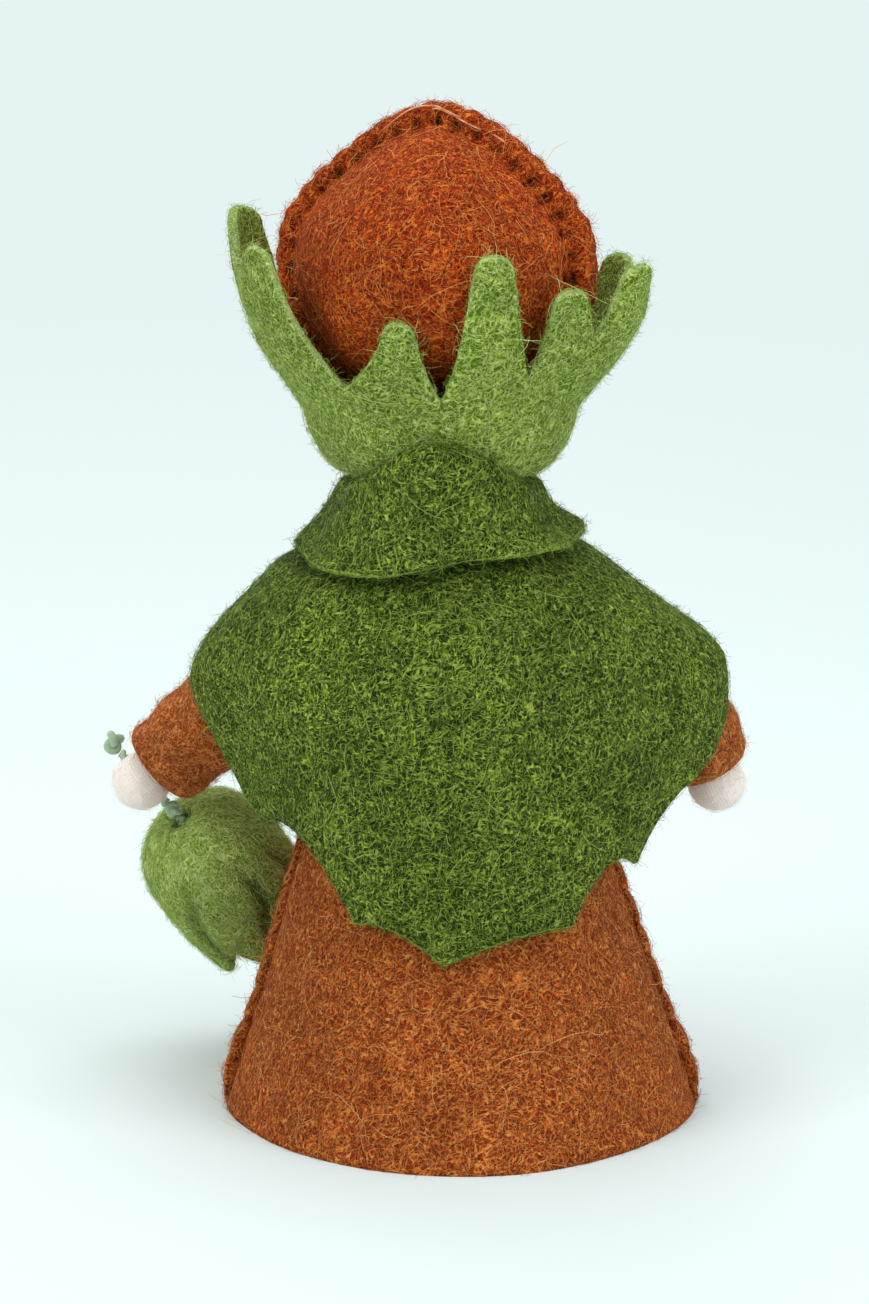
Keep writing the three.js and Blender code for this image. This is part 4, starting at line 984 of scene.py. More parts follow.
# %% Edges of the cape: (angle, height) of the collar, and (angle, height, rise of the scallop that follows)
COLLAR_EDGE = [(-146, 57.6), (-93, 58.2), (-62, 57.9), (-44, 58.7), (-10, 58.3), (22, 56.6), (60, 56.4),
               (93, 56.7), (146, 57.6)]
HEM = [(-146, 46.0, 0.8), (-122, 42.5, 2.2), (-98, 44.6, -0.8), (-80, 34.3, 1.2), (-66, 26.8, 3.0),
       (-37, 22.4, 1.0), (4.3, 19.6, 1.3), (32, 23.0, 3.9), (73.6, 30.0, 0.3), (80, 32.2, 0.5),
       (91, 41.4, 4.6), (122, 42.5, 0.8), (146, 46.0, 0)]
COLUMN_POINTS, COLUMN_SPACING = 74, 1.7


def rib_at(angle, tables):
    following = int(np.clip(np.searchsorted(RIB_ANGLES, angle), 1, len(RIB_ANGLES) - 1))
    start, end = RIB_ANGLES[following - 1], RIB_ANGLES[following]
    near = np.clip(following + np.arange(-2, 2), 0, len(tables) - 1)
    p0, p1, p2, p3 = (np.array(tables[i], float) for i in near)
    return cubic(p1, (p2 - p0) / 2, p2, (p3 - p1) / 2, (angle - start) / (end - start))


def cape_column(angle, hem):
    collar = rib_at(angle, COLLARS)
    drop = between(COLLAR_EDGE, angle) - collar[0, 1]
    collar[:2, 1] += (drop, drop / 2)
    body = rib_at(angle, BODIES)
    heights = np.linspace(body[2, 1], hem, 7)[1:]
    falling = np.stack([np.interp(-heights, -body[:, 1], body[:, 0]), heights], -1)
    line = smooth(np.concatenate([collar, body[:3], falling]), COLUMN_POINTS)
    x = lean(line[:, 1]) + line[:, 0] * np.sin(np.radians(angle))
    y = CAPE_Y + line[:, 0] * np.cos(np.radians(angle))
    return np.stack([x, y, line[:, 1]], -1)


def cape_middle():
    columns = []
    for (start, low, rise), (end, high, _) in zip(HEM[:-1], HEM[1:]):
        steps = max(3, round((end - start) / COLUMN_SPACING))
        for share in np.arange(steps) / steps:
            hem = low + (high - low) * share + 4 * rise * share * (1 - share)
            columns.append(cape_column(start + (end - start) * share, hem))
    columns.append(cape_column(HEM[-1][0], HEM[-1][1]))
    middle = np.array(columns)
    soft = 0.3 * lumps(middle, 11, 1.5) + 0.12 * lumps(middle, 4, 2.5) + 0.05 * lumps(middle, 1.6, 3.5)
    return middle + sheet_normals(middle, False) * soft[..., None]


# %% [markdown]
# The real cape is one piece. Here it is cut down the middle of the back, where no cut shows, into two halves.
# Under the collar's edge the body of the cape is pressed in a little and painted darker there, a painted
# shade that makes a dark line under the collar.

# %% Cape in two halves that meet down the back
ARM_FROM, ARM_WHOLLY, SHOULDER_HEIGHT = 0.5, 11, 46
SHOULDER_X = {"left": 9.6, "right": -5.8}
BACK_POINT_HEIGHT = 20.0
cape_grid = cape_middle()
cape_normals = sheet_normals(cape_grid, False)
centre_row = int(np.argmin(np.abs(cape_grid[:, -1, 0] - lean(BACK_POINT_HEIGHT))))
halves = {"right": (slice(0, centre_row + 1), "last", -1), "left": (slice(centre_row, None), "first", 1)}
along_line = np.arange(COLUMN_POINTS)
turned_down = along_line < 20
# Under the collar's free edge the cape is pressed in and painted darker: painted shade under the collar.
below_collar = (cape_grid[..., 2] - cape_grid[:, :1, 2] + 0.9) / 0.8
pressed_and_shaded = 0.52 * bell(below_collar, 1) * (along_line > 38)
for label, (rows, middle_end, way) in halves.items():
    piece = felt_sheet(f"felt_cape_{label}", cape_grid[rows], [felts["cape"], felts["cape_edge"]],
                       normals=cape_normals[rows], split=(middle_end,), dent=pressed_and_shaded[rows],
                       fuzz_of=(np.where(turned_down, 0.1, 1.0), np.where(turned_down, 1.0, 0.1)))
    fuzz = fibres_on(piece, "cape", 3.6, 30 + len(label), pale=0.2, dark=0.35)
    strays = stray_hairs(piece, "cape", 130 + len(label), 0.14)
    start, end = (place((SHOULDER_X[label] + x * way, 0, SHOULDER_HEIGHT)) for x in (ARM_FROM, ARM_WHOLLY))
    for thing in (piece, fuzz, strays):
        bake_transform(thing)
    assign((piece, fuzz, strays), "cape_felt", node="cape")

# %% [markdown]
# A thread drawn round the neck gathers the cape between its collar and its body. It is hidden by the collar
# at the back and shows in front, under the husk, so it is a real twisted thread with a little slack.

# %% Cape tie
TIE_RADIUS, TIE_HEIGHT = 8.2, 60.65
turn = np.linspace(0, 2 * np.pi, 97)[:-1]
tie_line = np.stack([LEAN + TIE_RADIUS * np.sin(turn), CAPE_Y + TIE_RADIUS * np.cos(turn),
                     TIE_HEIGHT + 0.05 * np.sin(9 * turn)], -1)
tie = loop_of_thread("cape_tie_thread", tie_line, 0.25, threads["green"])
assign([tie], "green_thread", "body", "cape_tie")

# %% [markdown]
# Each arm is a wire inside a wide tube of felt. The tube follows a smooth curve from the shoulder past the
# elbow to the hand, so the sleeve is swept along that curve: an outside, a rounded cuff and an inside. A
# few shallow folds cross the sleeve where it bends.

# %% Arm curves
STEM, JERSEY = 1.0, 0.6
ARMS = {
    "left": [(9.6, 0, 50.5), (21.2, -5.8, 40.2), (31.8, -8.5, 30.5)],
    "right": [(-5.8, 0, 50.5), (-21.0, -5.3, 38.9), (-25.4, -7.9, 30.6)],
}
HAND_RADIUS, CUFF_SETBACK = 2.85, 2.9


def arm_line(points):
    """Positions along an arm, evenly spaced, with the distance from the shoulder of each."""
    p = [np.array(q, float) for q in points]
    p = [2 * p[0] - p[1], *p, 2 * p[2] - p[1]]
    line = []
    for k in (1, 2):
        d0, d1, d2 = (np.linalg.norm(p[k + i] - p[k + i - 1]) ** 0.5 for i in (0, 1, 2))
        t1 = ((p[k] - p[k - 1]) / d0 - (p[k + 1] - p[k - 1]) / (d0 + d1) + (p[k + 1] - p[k]) / d1) * d1
        t2 = ((p[k + 1] - p[k]) / d1 - (p[k + 2] - p[k]) / (d1 + d2) + (p[k + 2] - p[k + 1]) / d2) * d1
        line.append(cubic(p[k], t1, p[k + 1], t2, np.linspace(0, 1, 200)[:, None]))
    line = np.concatenate([line[0], line[1][1:]])
    return line, walked_along(line)


def swept(line, walked, profile, segments):
    """A grid swept along a line, from (radius, distance) pairs: one row for each angle."""
    profile = np.asarray(profile, float)
    radius, distance = profile[:, 0], profile[:, 1]
    held = np.clip(distance, 0, walked[-1])
    centre = np.stack([np.interp(held, walked, line[:, i]) for i in range(3)], -1)
    slopes = np.gradient(line, walked, axis=0)
    forward = unit(np.stack([np.interp(held, walked, slopes[:, i]) for i in range(3)], -1))
    centre = centre + forward * (distance - held)[:, None]
    side = unit(np.array((0, 0, 1)) - forward * forward[:, 2:])
    other = np.cross(forward, side)
    turn = circle(segments)[:, None, None]
    return centre + radius[:, None] * (np.cos(turn) * side + np.sin(turn) * other)


def outward_from(line, walked, profile, grid):
    """Which way is out from the line, at each point of a grid swept along it."""
    return unit(grid - swept(line, walked, profile * (0, 1), len(grid)))

# %% Closed surfaces
def wrapped(name, grid, materials, closes=True):
    """A closed surface from a grid whose rows run round; its columns close too, or end on the axis."""
    rows, columns = grid.shape[:2]
    index = np.arange(rows * columns).reshape(rows, columns)
    index = np.concatenate([index, index[:1]])
    if closes:
        index = np.concatenate([index, index[:, :1]], 1)
    faces = grid_quads(index)
    points = grid.reshape(-1, 3)
    if signed_volume(points, faces) < 0:
        faces = faces[:, ::-1]
    made = finished(name, place(points), faces, materials)
    shape = bmesh.new()
    shape.from_mesh(made.data)
    bmesh.ops.remove_doubles(shape, verts=shape.verts, dist=1e-7)
    bmesh.ops.dissolve_degenerate(shape, edges=shape.edges, dist=1e-8)
    shape.to_mesh(made.data)
    shape.free()
    return made


# %% Sleeves
SLEEVE_SIDES, SLEEVE_STEP = 60, 0.5
SLEEVE_TOP = [(2.2, -2.4), (2.7, -1.1), (2.9, 0.6), (3.4, 6), (3.9, 8.5), (4.85, 13)]
SLEEVE_LINING = [(3.9, 13), (3.2, 8.5), (2.9, 6), (1.3, 4), (1.3, -2.4)]
THINNEST_FOLDED, OUTSIDE_FROM = 1.6, 3.95
for label, points in ARMS.items():
    line, walked = arm_line(points)
    cuff = walked[-1] - CUFF_SETBACK
    outside = smooth([*SLEEVE_TOP, (4.9, cuff - 9), (4.7, cuff - 4), (4.42, cuff - 0.3)], 60)
    lip = [(4.2, cuff + 0.05), (3.9, cuff + 0.1), (3.6, cuff + 0.05)]
    inside = [(3.4, cuff - 0.3), (3.7, cuff - 4), (3.9, cuff - 9), *SLEEVE_LINING]
    profile = even_profile([*outside, *lip, *inside], SLEEVE_STEP)
    deep = between([(-3, 0), (7, 0), (14, 1), (cuff - 2, 1), (cuff, 0.3)], profile[:, 1])
    fold = 0.16 * np.sin(profile[:, 1] * 1.3 + 2 * np.cos(circle(SLEEVE_SIDES))[:, None]) * deep
    grid = swept(line, walked, profile, SLEEVE_SIDES)
    soft = fold + 0.12 * lumps(grid, 4, 7) + 0.05 * lumps(grid, 1.5, 8)
    swell = soft * (profile[:, 0] > THINNEST_FOLDED)
    grid = grid + outward_from(line, walked, profile, grid) * swell[..., None]
    piece = wrapped(f"felt_{label}_sleeve", grid, [felts["sleeve"]])
    from_line = points_of(piece)[:, None] - place(line)[None, ::8]
    reach = np.sqrt((from_line**2).sum(-1).min(1))
    store(piece.data, "fuzz", np.where(reach > OUTSIDE_FROM * MM, 1, 0.05))
    fuzz = fibres_on(piece, "sleeve", 4.2, 40 + len(label), size=0.9, pale=0.14)
    assign((piece, fuzz), "sleeve_felt", f"{label}_arm", f"{label}_sleeve")

# %% [markdown]
# The skin is fine cotton jersey, stretched over a ball of wool for the head and a smaller one for each
# hand. Jersey shows rows of tiny V stitches. The wave texture draws about half as many bands as the numbers
# given to it: 49 wales of 0.37 mm round a hand, and 91 of 0.77 mm round the head, which are coarser than
# real so that they show. The pattern follows a map of the ball, from one pole to the other, as the stocking
# does.

# %% Jersey
def jersey(name, colour, shade, wales, courses):
    material, tree = new_material(name)
    spot = add(tree, "ShaderNodeUVMap", uv_map="knit")
    waves = []
    for count, wobble, way in ((wales, 0.6, "X"), (courses, 1.2, "Y")):
        bands = {"Vector": spot, "Scale": count / 6.283, "Distortion": wobble, "Detail": 1.0}
        waves.append(add(tree, "ShaderNodeTexWave", bands, bands_direction=way).outputs["Fac"])
    wale, course = waves
    knit = add(tree, "ShaderNodeMath", {0: wale, 1: course}, operation="MULTIPLY").outputs[0]
    two_tone(tree, knit, (shade, colour), 0.5, 0.08, {
        "Roughness": 0.85, "Sheen Weight": 0.25, "Subsurface Weight": 0.08, "Subsurface Scale": 0.002})
    return material


knits = {
    "hand": jersey("hand_jersey_pale_pink", "#FFF9F2", "#F6E8DE", 96, 54),
    "head": jersey("head_jersey_pale_pink", "#F2DDD0", "#E8D0C1", 180, 100),
}
print(len(knits), "knits")


def ball_uv(piece, centre, forward):
    """Longitude and latitude round an axis, for the knit pattern."""
    mesh = piece.data
    layer = mesh.uv_layers.new(name="knit")
    axis = unit(np.asarray(forward, float))
    side = unit(np.cross(axis, (0.3, 1, 0.2)))
    other = np.cross(axis, side)
    spots = points_of(piece) - np.asarray(centre)
    angle = np.arctan2(spots @ other, spots @ side) / (2 * np.pi)
    height = np.arccos(np.clip(unit(spots) @ axis, -1, 1)) / np.pi
    for polygon in mesh.polygons:
        corners = [(loop, mesh.loops[loop].vertex_index) for loop in polygon.loop_indices]
        around = [angle[corner] for _, corner in corners]
        crosses = max(around) - min(around) > 0.5
        for loop, corner in corners:
            value = angle[corner] + (1 if crosses and angle[corner] < 0 else 0)
            layer.data[loop].uv = (value, height[corner])


# %% Hands
HAND_SIDES, WRIST = 48, STEM + EASE + JERSEY
BORE, BORE_END, WRIST_LENGTH, GATHERED_FROM = 1.3, 1.4, 6, 1.4
for label, points in ARMS.items():
    line, walked = arm_line(points)
    end = walked[-1]
    turn = np.linspace(np.pi / 2, -math.acos(WRIST / HAND_RADIUS), 26)
    palm = np.stack([HAND_RADIUS * np.cos(turn), end + HAND_RADIUS * np.sin(turn)], -1)
    foot = end - HAND_RADIUS - WRIST_LENGTH
    inner = [(BORE, foot), (BORE, end - BORE_END), (0, end - BORE_END)]
    profile = np.concatenate([palm, even_profile([palm[-1], (WRIST, foot), *inner], 0.6)[1:]])
    around = circle(HAND_SIDES)[:, None]
    taper = between([(end - 6, 1), (end - 1.5, 0.6), (end + 1.5, 0)], profile[:, 1])
    gather = 0.07 * np.sin(11 * around) * taper * (profile[:, 0] > GATHERED_FROM)
    grid = swept(line, walked, profile, HAND_SIDES)
    grid = grid + outward_from(line, walked, profile, grid) * gather[..., None]
    piece = wrapped(f"jersey_{label}_hand", grid, [knits["hand"]], closes=False)
    ball_uv(piece, place(line[-1]), line[-1] - line[-20])
    from_palm = np.linalg.norm(points_of(piece) - place(line[-1]), axis=1)
    store(piece.data, "fuzz", np.abs(from_palm - HAND_RADIUS * MM) < 0.2 * MM)
    fuzz = fibres_on(piece, "hand", 4.5, 45 + len(label), size=0.7)
    assign((piece, fuzz), "jersey", f"{label}_arm", f"{label}_hand")
    bound_at = end - HAND_RADIUS - 1.6
    loops = []
    for k in range(3):
        ring = [(WRIST + 0.3 + 0.04 * k, bound_at + 0.35 * (k - 1))]
        loops.append(swept(line, walked, ring, 32)[:, 0])
    strand = np.concatenate([loops[0][:-1], loops[1][:-1], loops[2]])
    wound_points, faces = tube(strand, 0.14, sides=6)
    wound = finished(f"{label}_wrist_binding", place(wound_points), faces, [threads["pale"]])
    assign([wound], "pale_thread", f"{label}_arm", f"{label}_wrist_thread")

# %% [markdown]
# The yarn is stranded cotton with two plies. It passes through the left hand, ends in a small tied knot,
# and carries the hazelnut below. A ply is a tube that winds round the yarn's line, so two of them make the
# twist. A knot is the same yarn bent to a trefoil, which is what an overhand knot is.

# %% Yarn
YARN_HAIR = 0.25


def yarn_material():
    material, tree = new_material("sage_cotton_yarn")
    spot = add(tree, "ShaderNodeTexCoord").outputs["Object"]
    hair = add(tree, "ShaderNodeTexNoise", {
        "Vector": spot, "Scale": 1 / (YARN_HAIR * MM), "Detail": 3.0, "Distortion": 1.0}).outputs["Fac"]
    two_tone(tree, hair, ("#76966F", "#BBD3AE"), 0.6, 0.06, {"Roughness": 0.7, "Sheen Weight": 0.4})
    return material


YARN = yarn_material()
YARN_RADIUS, YARN_SIDES, KNOT_SCALE = 0.5, 8, 0.235


def plied(name, path, turns, body, node, plies=2):
    """Plies that wind round each other along a path."""
    line = smooth(path, max(24, int(turns * 16)))
    forward = unit(np.gradient(line, axis=0))
    side = unit(np.cross(forward, (0.2, 0.9, 0.1)))
    other = np.cross(forward, side)
    tubes = []
    for k in range(plies):
        turn = 2 * np.pi * (turns * np.linspace(0, 1, len(line)) + k / plies)[:, None]
        centre = line + 0.5 * YARN_RADIUS * (np.cos(turn) * side + np.sin(turn) * other)
        tubes.append(tube(centre, YARN_RADIUS * 0.55, YARN_SIDES))
    points, faces = joined(tubes)
    assign([finished(name, place(points), faces, [YARN])], "sage_yarn", body, node)


def yarn_knot(name, centre, radius, body, node, seed):
    turn = np.linspace(0, 2 * np.pi, 90)[:-1]
    x = np.sin(turn) + 2 * np.sin(2 * turn)
    y = np.cos(turn) - 2 * np.cos(2 * turn)
    z = -np.sin(3 * turn)
    line = np.stack([x, y, z * 1.25], -1) * radius * KNOT_SCALE
    spin = np.random.default_rng(seed).uniform(0, 3, 3)
    for (a, b), angle in zip(((1, 2), (0, 2), (0, 1)), spin):
        line[:, a], line[:, b] = (line[:, a] * math.cos(angle) - line[:, b] * math.sin(angle),
                                  line[:, a] * math.sin(angle) + line[:, b] * math.cos(angle))
    points, faces = tube(np.concatenate([line, line[:1]]) + centre, radius * 0.33, YARN_SIDES)
    assign([finished(name, place(points), faces, [YARN])], "sage_yarn", body, node)


LEFT_HAND = np.array(ARMS["left"][-1])
END_KNOT = np.array((34.6, -10.5, 34.0))
HANGING_KNOT = np.array((28.75, -9.9, 27.2))
yarn_path = [
    END_KNOT + 0.28 * (LEFT_HAND - END_KNOT),
    LEFT_HAND,
    HANGING_KNOT + 0.22 * (LEFT_HAND - HANGING_KNOT),
]
plied("yarn_through_palm", yarn_path, 4, "left_arm", "yarn_through_hand")
yarn_knot("yarn_tied_end", END_KNOT, 1.25, "left_arm", "yarn_end_knot", 4)
yarn_knot("nut_tied_knot", HANGING_KNOT, 1.0, "knot", "hanging_knot", 9)

# %% [markdown]
# The hazelnut hangs in its husk: a small stuffed ball of brown felt, and round it a ragged cup of olive
# felt whose lower edge is cut into uneven lobes. Creases run down the husk from the yarn, deeper towards
# the edge.

# %% Frames of the nut and the head
def turned_round(profile, count):
    """Two coordinates across and one along the axis, for (out, along) pairs turned round it."""
    around = circle(count)[:, None]
    return profile[:, 0] * np.cos(around), profile[:, 0] * np.sin(around), profile[:, 1] + 0 * around


def about(axis, angle):
    """The matrix that turns points about the x or the z axis."""
    c, s = math.cos(angle), math.sin(angle)
    if axis == "x":
        return np.array([[1, 0, 0], [0, c, -s], [0, s, c]])
    return np.array([[c, -s, 0], [s, c, 0], [0, 0, 1]])


NUT_LEAN, NUT_FORWARD, NUT_RADIUS, NUT_DROP = 30, 26, 5.6, 8.6
NUT_AXES = about("x", math.radians(90 - NUT_FORWARD)) @ about("z", -math.radians(NUT_LEAN))


def on_nut(points):
    """From the nut's own frame, where it hangs down -Y, to the doll's."""
    return np.asarray(points, float) @ NUT_AXES.T + HANGING_KNOT


# %% Husk of the nut: shares of its width at each drop, its edge as (angle, drop), and the angles of its folds
husk_middle = NUT_RADIUS + EASE + FELT / 2
NUT_HUSK_PROFILE = [(1.75, 1.4 / husk_middle), (2.0, 0.46), (3.6, 0.8), (6.2, 0.98), (9.0, 1.04),
                    (12.0, 1.02), (15.0, 0.97), (19.0, 0.91)]
NUT_HUSK_EDGE = [(0, 17.6), (16, 17.2), (27, 14.9), (39, 18.3), (53, 18.0), (72, 14.6), (92, 16.8),
                 (108, 16.6), (124, 14.2), (146, 17.8), (163, 17.4), (178, 14.8), (197, 17.0), (213, 17.3),
                 (229, 14.4), (250, 18.2), (266, 17.8), (283, 14.6), (302, 17.2), (318, 17.0), (336, 14.7),
                 (350, 17.4), (360, 17.6)]
NUT_FOLDS = (14, 48, 83, 128, 171, 206, 240, 288, 327)
FOLD_WIDTH = 6.5
angles = np.arange(0, 360, 2.0)
share = np.linspace(0, 1, 50) ** 1.25
top = NUT_HUSK_PROFILE[0][0]
drop = top + (between(NUT_HUSK_EDGE, angles)[:, None] - top) * share
radius = husk_middle * between(smooth(NUT_HUSK_PROFILE, 80), drop)
bearing = np.radians(angles)[:, None]
grid = np.stack([radius * np.cos(bearing), -drop, radius * np.sin(bearing)], -1)
fold_line = np.degrees(bearing) + 9 * np.sin(drop / 3.1 + 2 * np.cos(bearing))
folds = sum(bell((fold_line - at + 180) % 360 - 180, FOLD_WIDTH) for at in NUT_FOLDS)
down = np.clip((share - 0.15) / 0.35, 0, 1) ** 1.5
ribs = np.stack([np.cos(bearing) * 3.2 + 0 * drop, drop * 0.12, np.sin(bearing) * 3.2 + 0 * drop], -1)
crease = 0.35 * lumps(ribs, 1, 4)
swell = (crease + 0.2) * share + 0.1 * lumps(grid, 1.8, 6)
grid = grid + unit(grid * (1, 0, 1)) * swell[..., None]
# The creases are dented and painted darker, deeper towards the edge: painted shade in the folds.
husk = felt_sheet("felt_nut_husk", on_nut(grid), [felts["nut_husk"], felts["husk_edge"]],
                  centre=on_nut((0, -9, 0)), ring=True, dent=0.42 * folds * down)
hanging = on_nut((0, -1, 0)) - on_nut((0, 0, 0))
fuzz = fibres_on(husk, "nut_husk", 7.0, 51, tilt=0.1, comb=0.86, pale=0.3, along=hanging)
assign((husk, fuzz), "nut_husk_felt", "nut", "nut_husk")

# %% The nut and its short yarn
turn = np.linspace(np.pi / 2, -np.pi / 2, 40)
height = np.sin(turn)
stretch = np.where(height < 0, 1.0 + 0.12 * height**4, 0.9)
profile = np.stack([np.cos(turn) * NUT_RADIUS, height * NUT_RADIUS * stretch - NUT_DROP], -1)
profile[[0, -1], 0] = 0
x, z, y = turned_round(profile, 48)
nut = wrapped("felt_nut_ball", on_nut(np.stack([x, y, z], -1)), [felts["nut"]], closes=False)
assign([nut], "nut_felt", "nut", "nut_ball")
yarn_drops = (-1.3, -2.2, -NUT_DROP + 0.9 * NUT_RADIUS + EASE)
plied("nut_short_yarn", [on_nut((0, y, 0)) for y in yarn_drops], 1.2, "nut", "nut_yarn")

# %% [markdown]
# The head is a ball of wool in jersey, turned a little to one side and tipped forward. Hat, hair and face
# are drawn in the head's own frame, where the face looks along -Y, and one function puts them in place.

# %% Jersey head on its neck
NECK_X, NECK_Y, HEAD_HEIGHT, HEAD_RADIUS, NECK_RADIUS = 2.0, -0.5, 83.9, 11.2, 3.2
HEAD_AXES = about("z", -math.radians(14)) @ about("x", math.radians(8))
HEAD_CENTRE = np.array((NECK_X, NECK_Y, HEAD_HEIGHT))


def on_head(points):
    return np.asarray(points, float) @ HEAD_AXES.T + HEAD_CENTRE


def neck_ring(radius, height, count=40):
    """A level ring of points round the neck."""
    turn = np.linspace(0, 2 * np.pi, count + 1)[:-1]
    x, y = NECK_X + radius * np.cos(turn), NECK_Y + radius * np.sin(turn)
    return np.stack([x, y, np.full_like(turn, height)], -1)


NECK_SUNK = 1.4
foot = DRESS_HEIGHT - NECK_SUNK - HEAD_HEIGHT
turn = np.linspace(math.asin(NECK_RADIUS / HEAD_RADIUS) - np.pi / 2, np.pi / 2, 44)
ball = np.stack([HEAD_RADIUS * np.cos(turn), HEAD_RADIUS * np.sin(turn)], -1)
ball[-1, 0] = 0
neck = even_profile([(NECK_RADIUS, foot), ball[0]], 0.7)[:-1]
inner = (ball * (HEAD_RADIUS - JERSEY) / HEAD_RADIUS)[::-1]
hollow = even_profile([(NECK_RADIUS - JERSEY, inner[-1][1]), (NECK_RADIUS - JERSEY, foot)], 0.9)
profile = np.concatenate([neck, ball, inner[:-1], hollow])
grid = np.stack(turned_round(profile, 72), -1)
head = wrapped("jersey_head", grid + HEAD_CENTRE, [knits["head"]])
ball_uv(head, place(HEAD_CENTRE), (0, 0, 1))
assign([head], "jersey", "head", "head_jersey")

# %% [markdown]
# The face is plain, as on any small doll of this kind: two round stitched eyes and a short curved mouth. An
# eye is satin stitch, a few threads side by side, so it is drawn as a small oval of parallel threads.

# %% Face
def on_face(x, z, lift):
    radius = HEAD_RADIUS + lift
    return np.array((x, -math.sqrt(radius**2 - x**2 - z**2), z))


EYE_SPREAD, EYE_WIDTH, EYE_HEIGHT, FINE_TWIST = 3.9, 0.5, 0.68, 0.2
MOUTH_Z, MOUTH_HALF = -4.8, 1.5
eye_thread = thread_material("eye_thread_dark_brown", "#4A3226", "#2C1C14", FINE_TWIST)
mouth_thread = thread_material("mouth_thread_rose", "#B8604F", "#8E4337", FINE_TWIST)
for way, label in ((1, "left"), (-1, "right")):
    tubes = []
    for k in np.linspace(-1, 1, 7):
        tall = EYE_HEIGHT * math.sqrt(1 - 0.85 * k * k)
        x = way * EYE_SPREAD + EYE_WIDTH * k
        line = [on_face(x, 0.4 + tall * s, 0.28 + 0.34 * (1 - s * s)) for s in np.linspace(-1, 1, 7)]
        tubes.append(tube(line, 0.1, 6))
    points, faces = joined(tubes)
    eye = finished(f"{label}_eye_stitches", place(on_head(points)), faces, [eye_thread])
    assign([eye], "eye_thread", "head", f"{label}_eye")
mouth_path = [on_face(x, MOUTH_Z + 0.22 * x * x, 0.5) for x in np.linspace(-MOUTH_HALF, MOUTH_HALF, 15)]
points, faces = tube(mouth_path, 0.22, 8)
mouth = finished("mouth_stitch", place(on_head(points)), faces, [mouth_thread])
assign([mouth], "mouth_thread", "head", "mouth")

# %% Neck thread
neck_height = HEAD_HEIGHT - math.sqrt(HEAD_RADIUS**2 - (NECK_RADIUS + 1) ** 2) - 1.2
neck_loop = neck_ring(NECK_RADIUS + 0.55, neck_height, 64)
binding = loop_of_thread("neck_binding", neck_loop, 0.25, threads["pale"])
assign([binding], "pale_thread", "head", "neck_thread")

# %% [markdown]
# The hair is a roll of carded wool over the brow. It is made of many soft strands that run along the roll
# and cross a little, so it looks combed and not moulded.

# %% Hair
HAIR_COLOURS = {"hair_wool_brown": "#8A5A33", "hair_wool_gold": "#B07F4C"}
hair_tones = [plain_wool(name, colour, sheen=0.35) for name, colour in HAIR_COLOURS.items()]
STRANDS, ROLL_HALF, BROW, ROLL_THICK = 210, 118, math.radians(43), 1.25
draw = np.random.default_rng(5)
share = np.linspace(0, 1, 26)
tubes = []
for strand in range(STRANDS):
    start, end = draw.uniform(-1, -0.45), draw.uniform(0.45, 1)
    around = np.radians(ROLL_HALF * (start + (end - start) * share))
    mixed = (around / np.radians(ROLL_HALF) + 1) / 2
    thick = ROLL_THICK * np.sin(np.pi * (0.12 + 0.76 * mixed)) ** 0.6 + 0.12 * np.sin(around * 9)
    spin = draw.uniform(0, 2 * np.pi) + draw.uniform(-2.2, 2.2) * share
    depth = draw.uniform(0.75, 1.0)
    out = HEAD_RADIUS + thick + EASE
    centre = np.stack([out * math.sin(BROW) * np.sin(around), -out * math.cos(BROW),
                       out * math.sin(BROW) * np.cos(around)], -1)
    radial = unit(centre)
    across = np.cross(radial, np.stack([np.cos(around), 0 * around, -np.sin(around)], -1))
    line = centre + radial * (thick * depth * np.cos(spin))[:, None]
    line = line + across * (1.35 * thick * depth * np.sin(spin))[:, None]
    tubes.append(tube(line, 0.13 * np.sin(np.pi * (0.04 + 0.92 * share)) ** 0.5, 5))
points, faces = joined(tubes)
hair = finished("wool_hair_roll", place(on_head(points)), faces, hair_tones)
tones = [int(strand % 3 == 0) for strand, (_, strand_faces) in enumerate(tubes) for _ in strand_faces]
hair.data.polygons.foreach_set("material_index", tones[: len(hair.data.polygons)])
assign([hair], "hair_wool", "head", "hair_roll")

# %% [markdown]
# The hat is a domed back panel sewn to a band that runs forward over the head. Its outline is drawn in beside
# the crown, so from behind it looks like the top of a nut. Each stitch of the round seam pulls a dimple into
# the panel just inside the edge, and the dimples and the groove round them are painted darker as painted
# shade, which shows as a ring of small dark pits.

# %% Hat sizes and outline
HAT_RADIUS = HEAD_RADIUS + 2.1
HAT_LIP, HAT_SEAM_Y, HAT_BULGE, HAT_BAND_DEPTH, HAT_TUCK = 2.1, 2.2, 11.0, 11.6, 0.5
HAT_EDGE = HAT_RADIUS + HAT_LIP
HAT_STITCHES, STITCH_DRIFT = 38, 0.9
HAT_OUTLINE = [(0, 0.995), (10, 0.965), (20, 0.935), (32, 0.905), (45, 0.9), (58, 0.93), (70, 0.965),
               (84, 0.995), (180, 1.0)]
outline = smooth(HAT_OUTLINE, 120)


def hat_share(angle):
    """Share of the full radius at an angle from the crown."""
    return between(outline, np.degrees(np.abs(angle)))


def from_crown(angle):
    """The same angle written from -180 to 180 degrees."""
    return (angle + np.pi) % (2 * np.pi) - np.pi


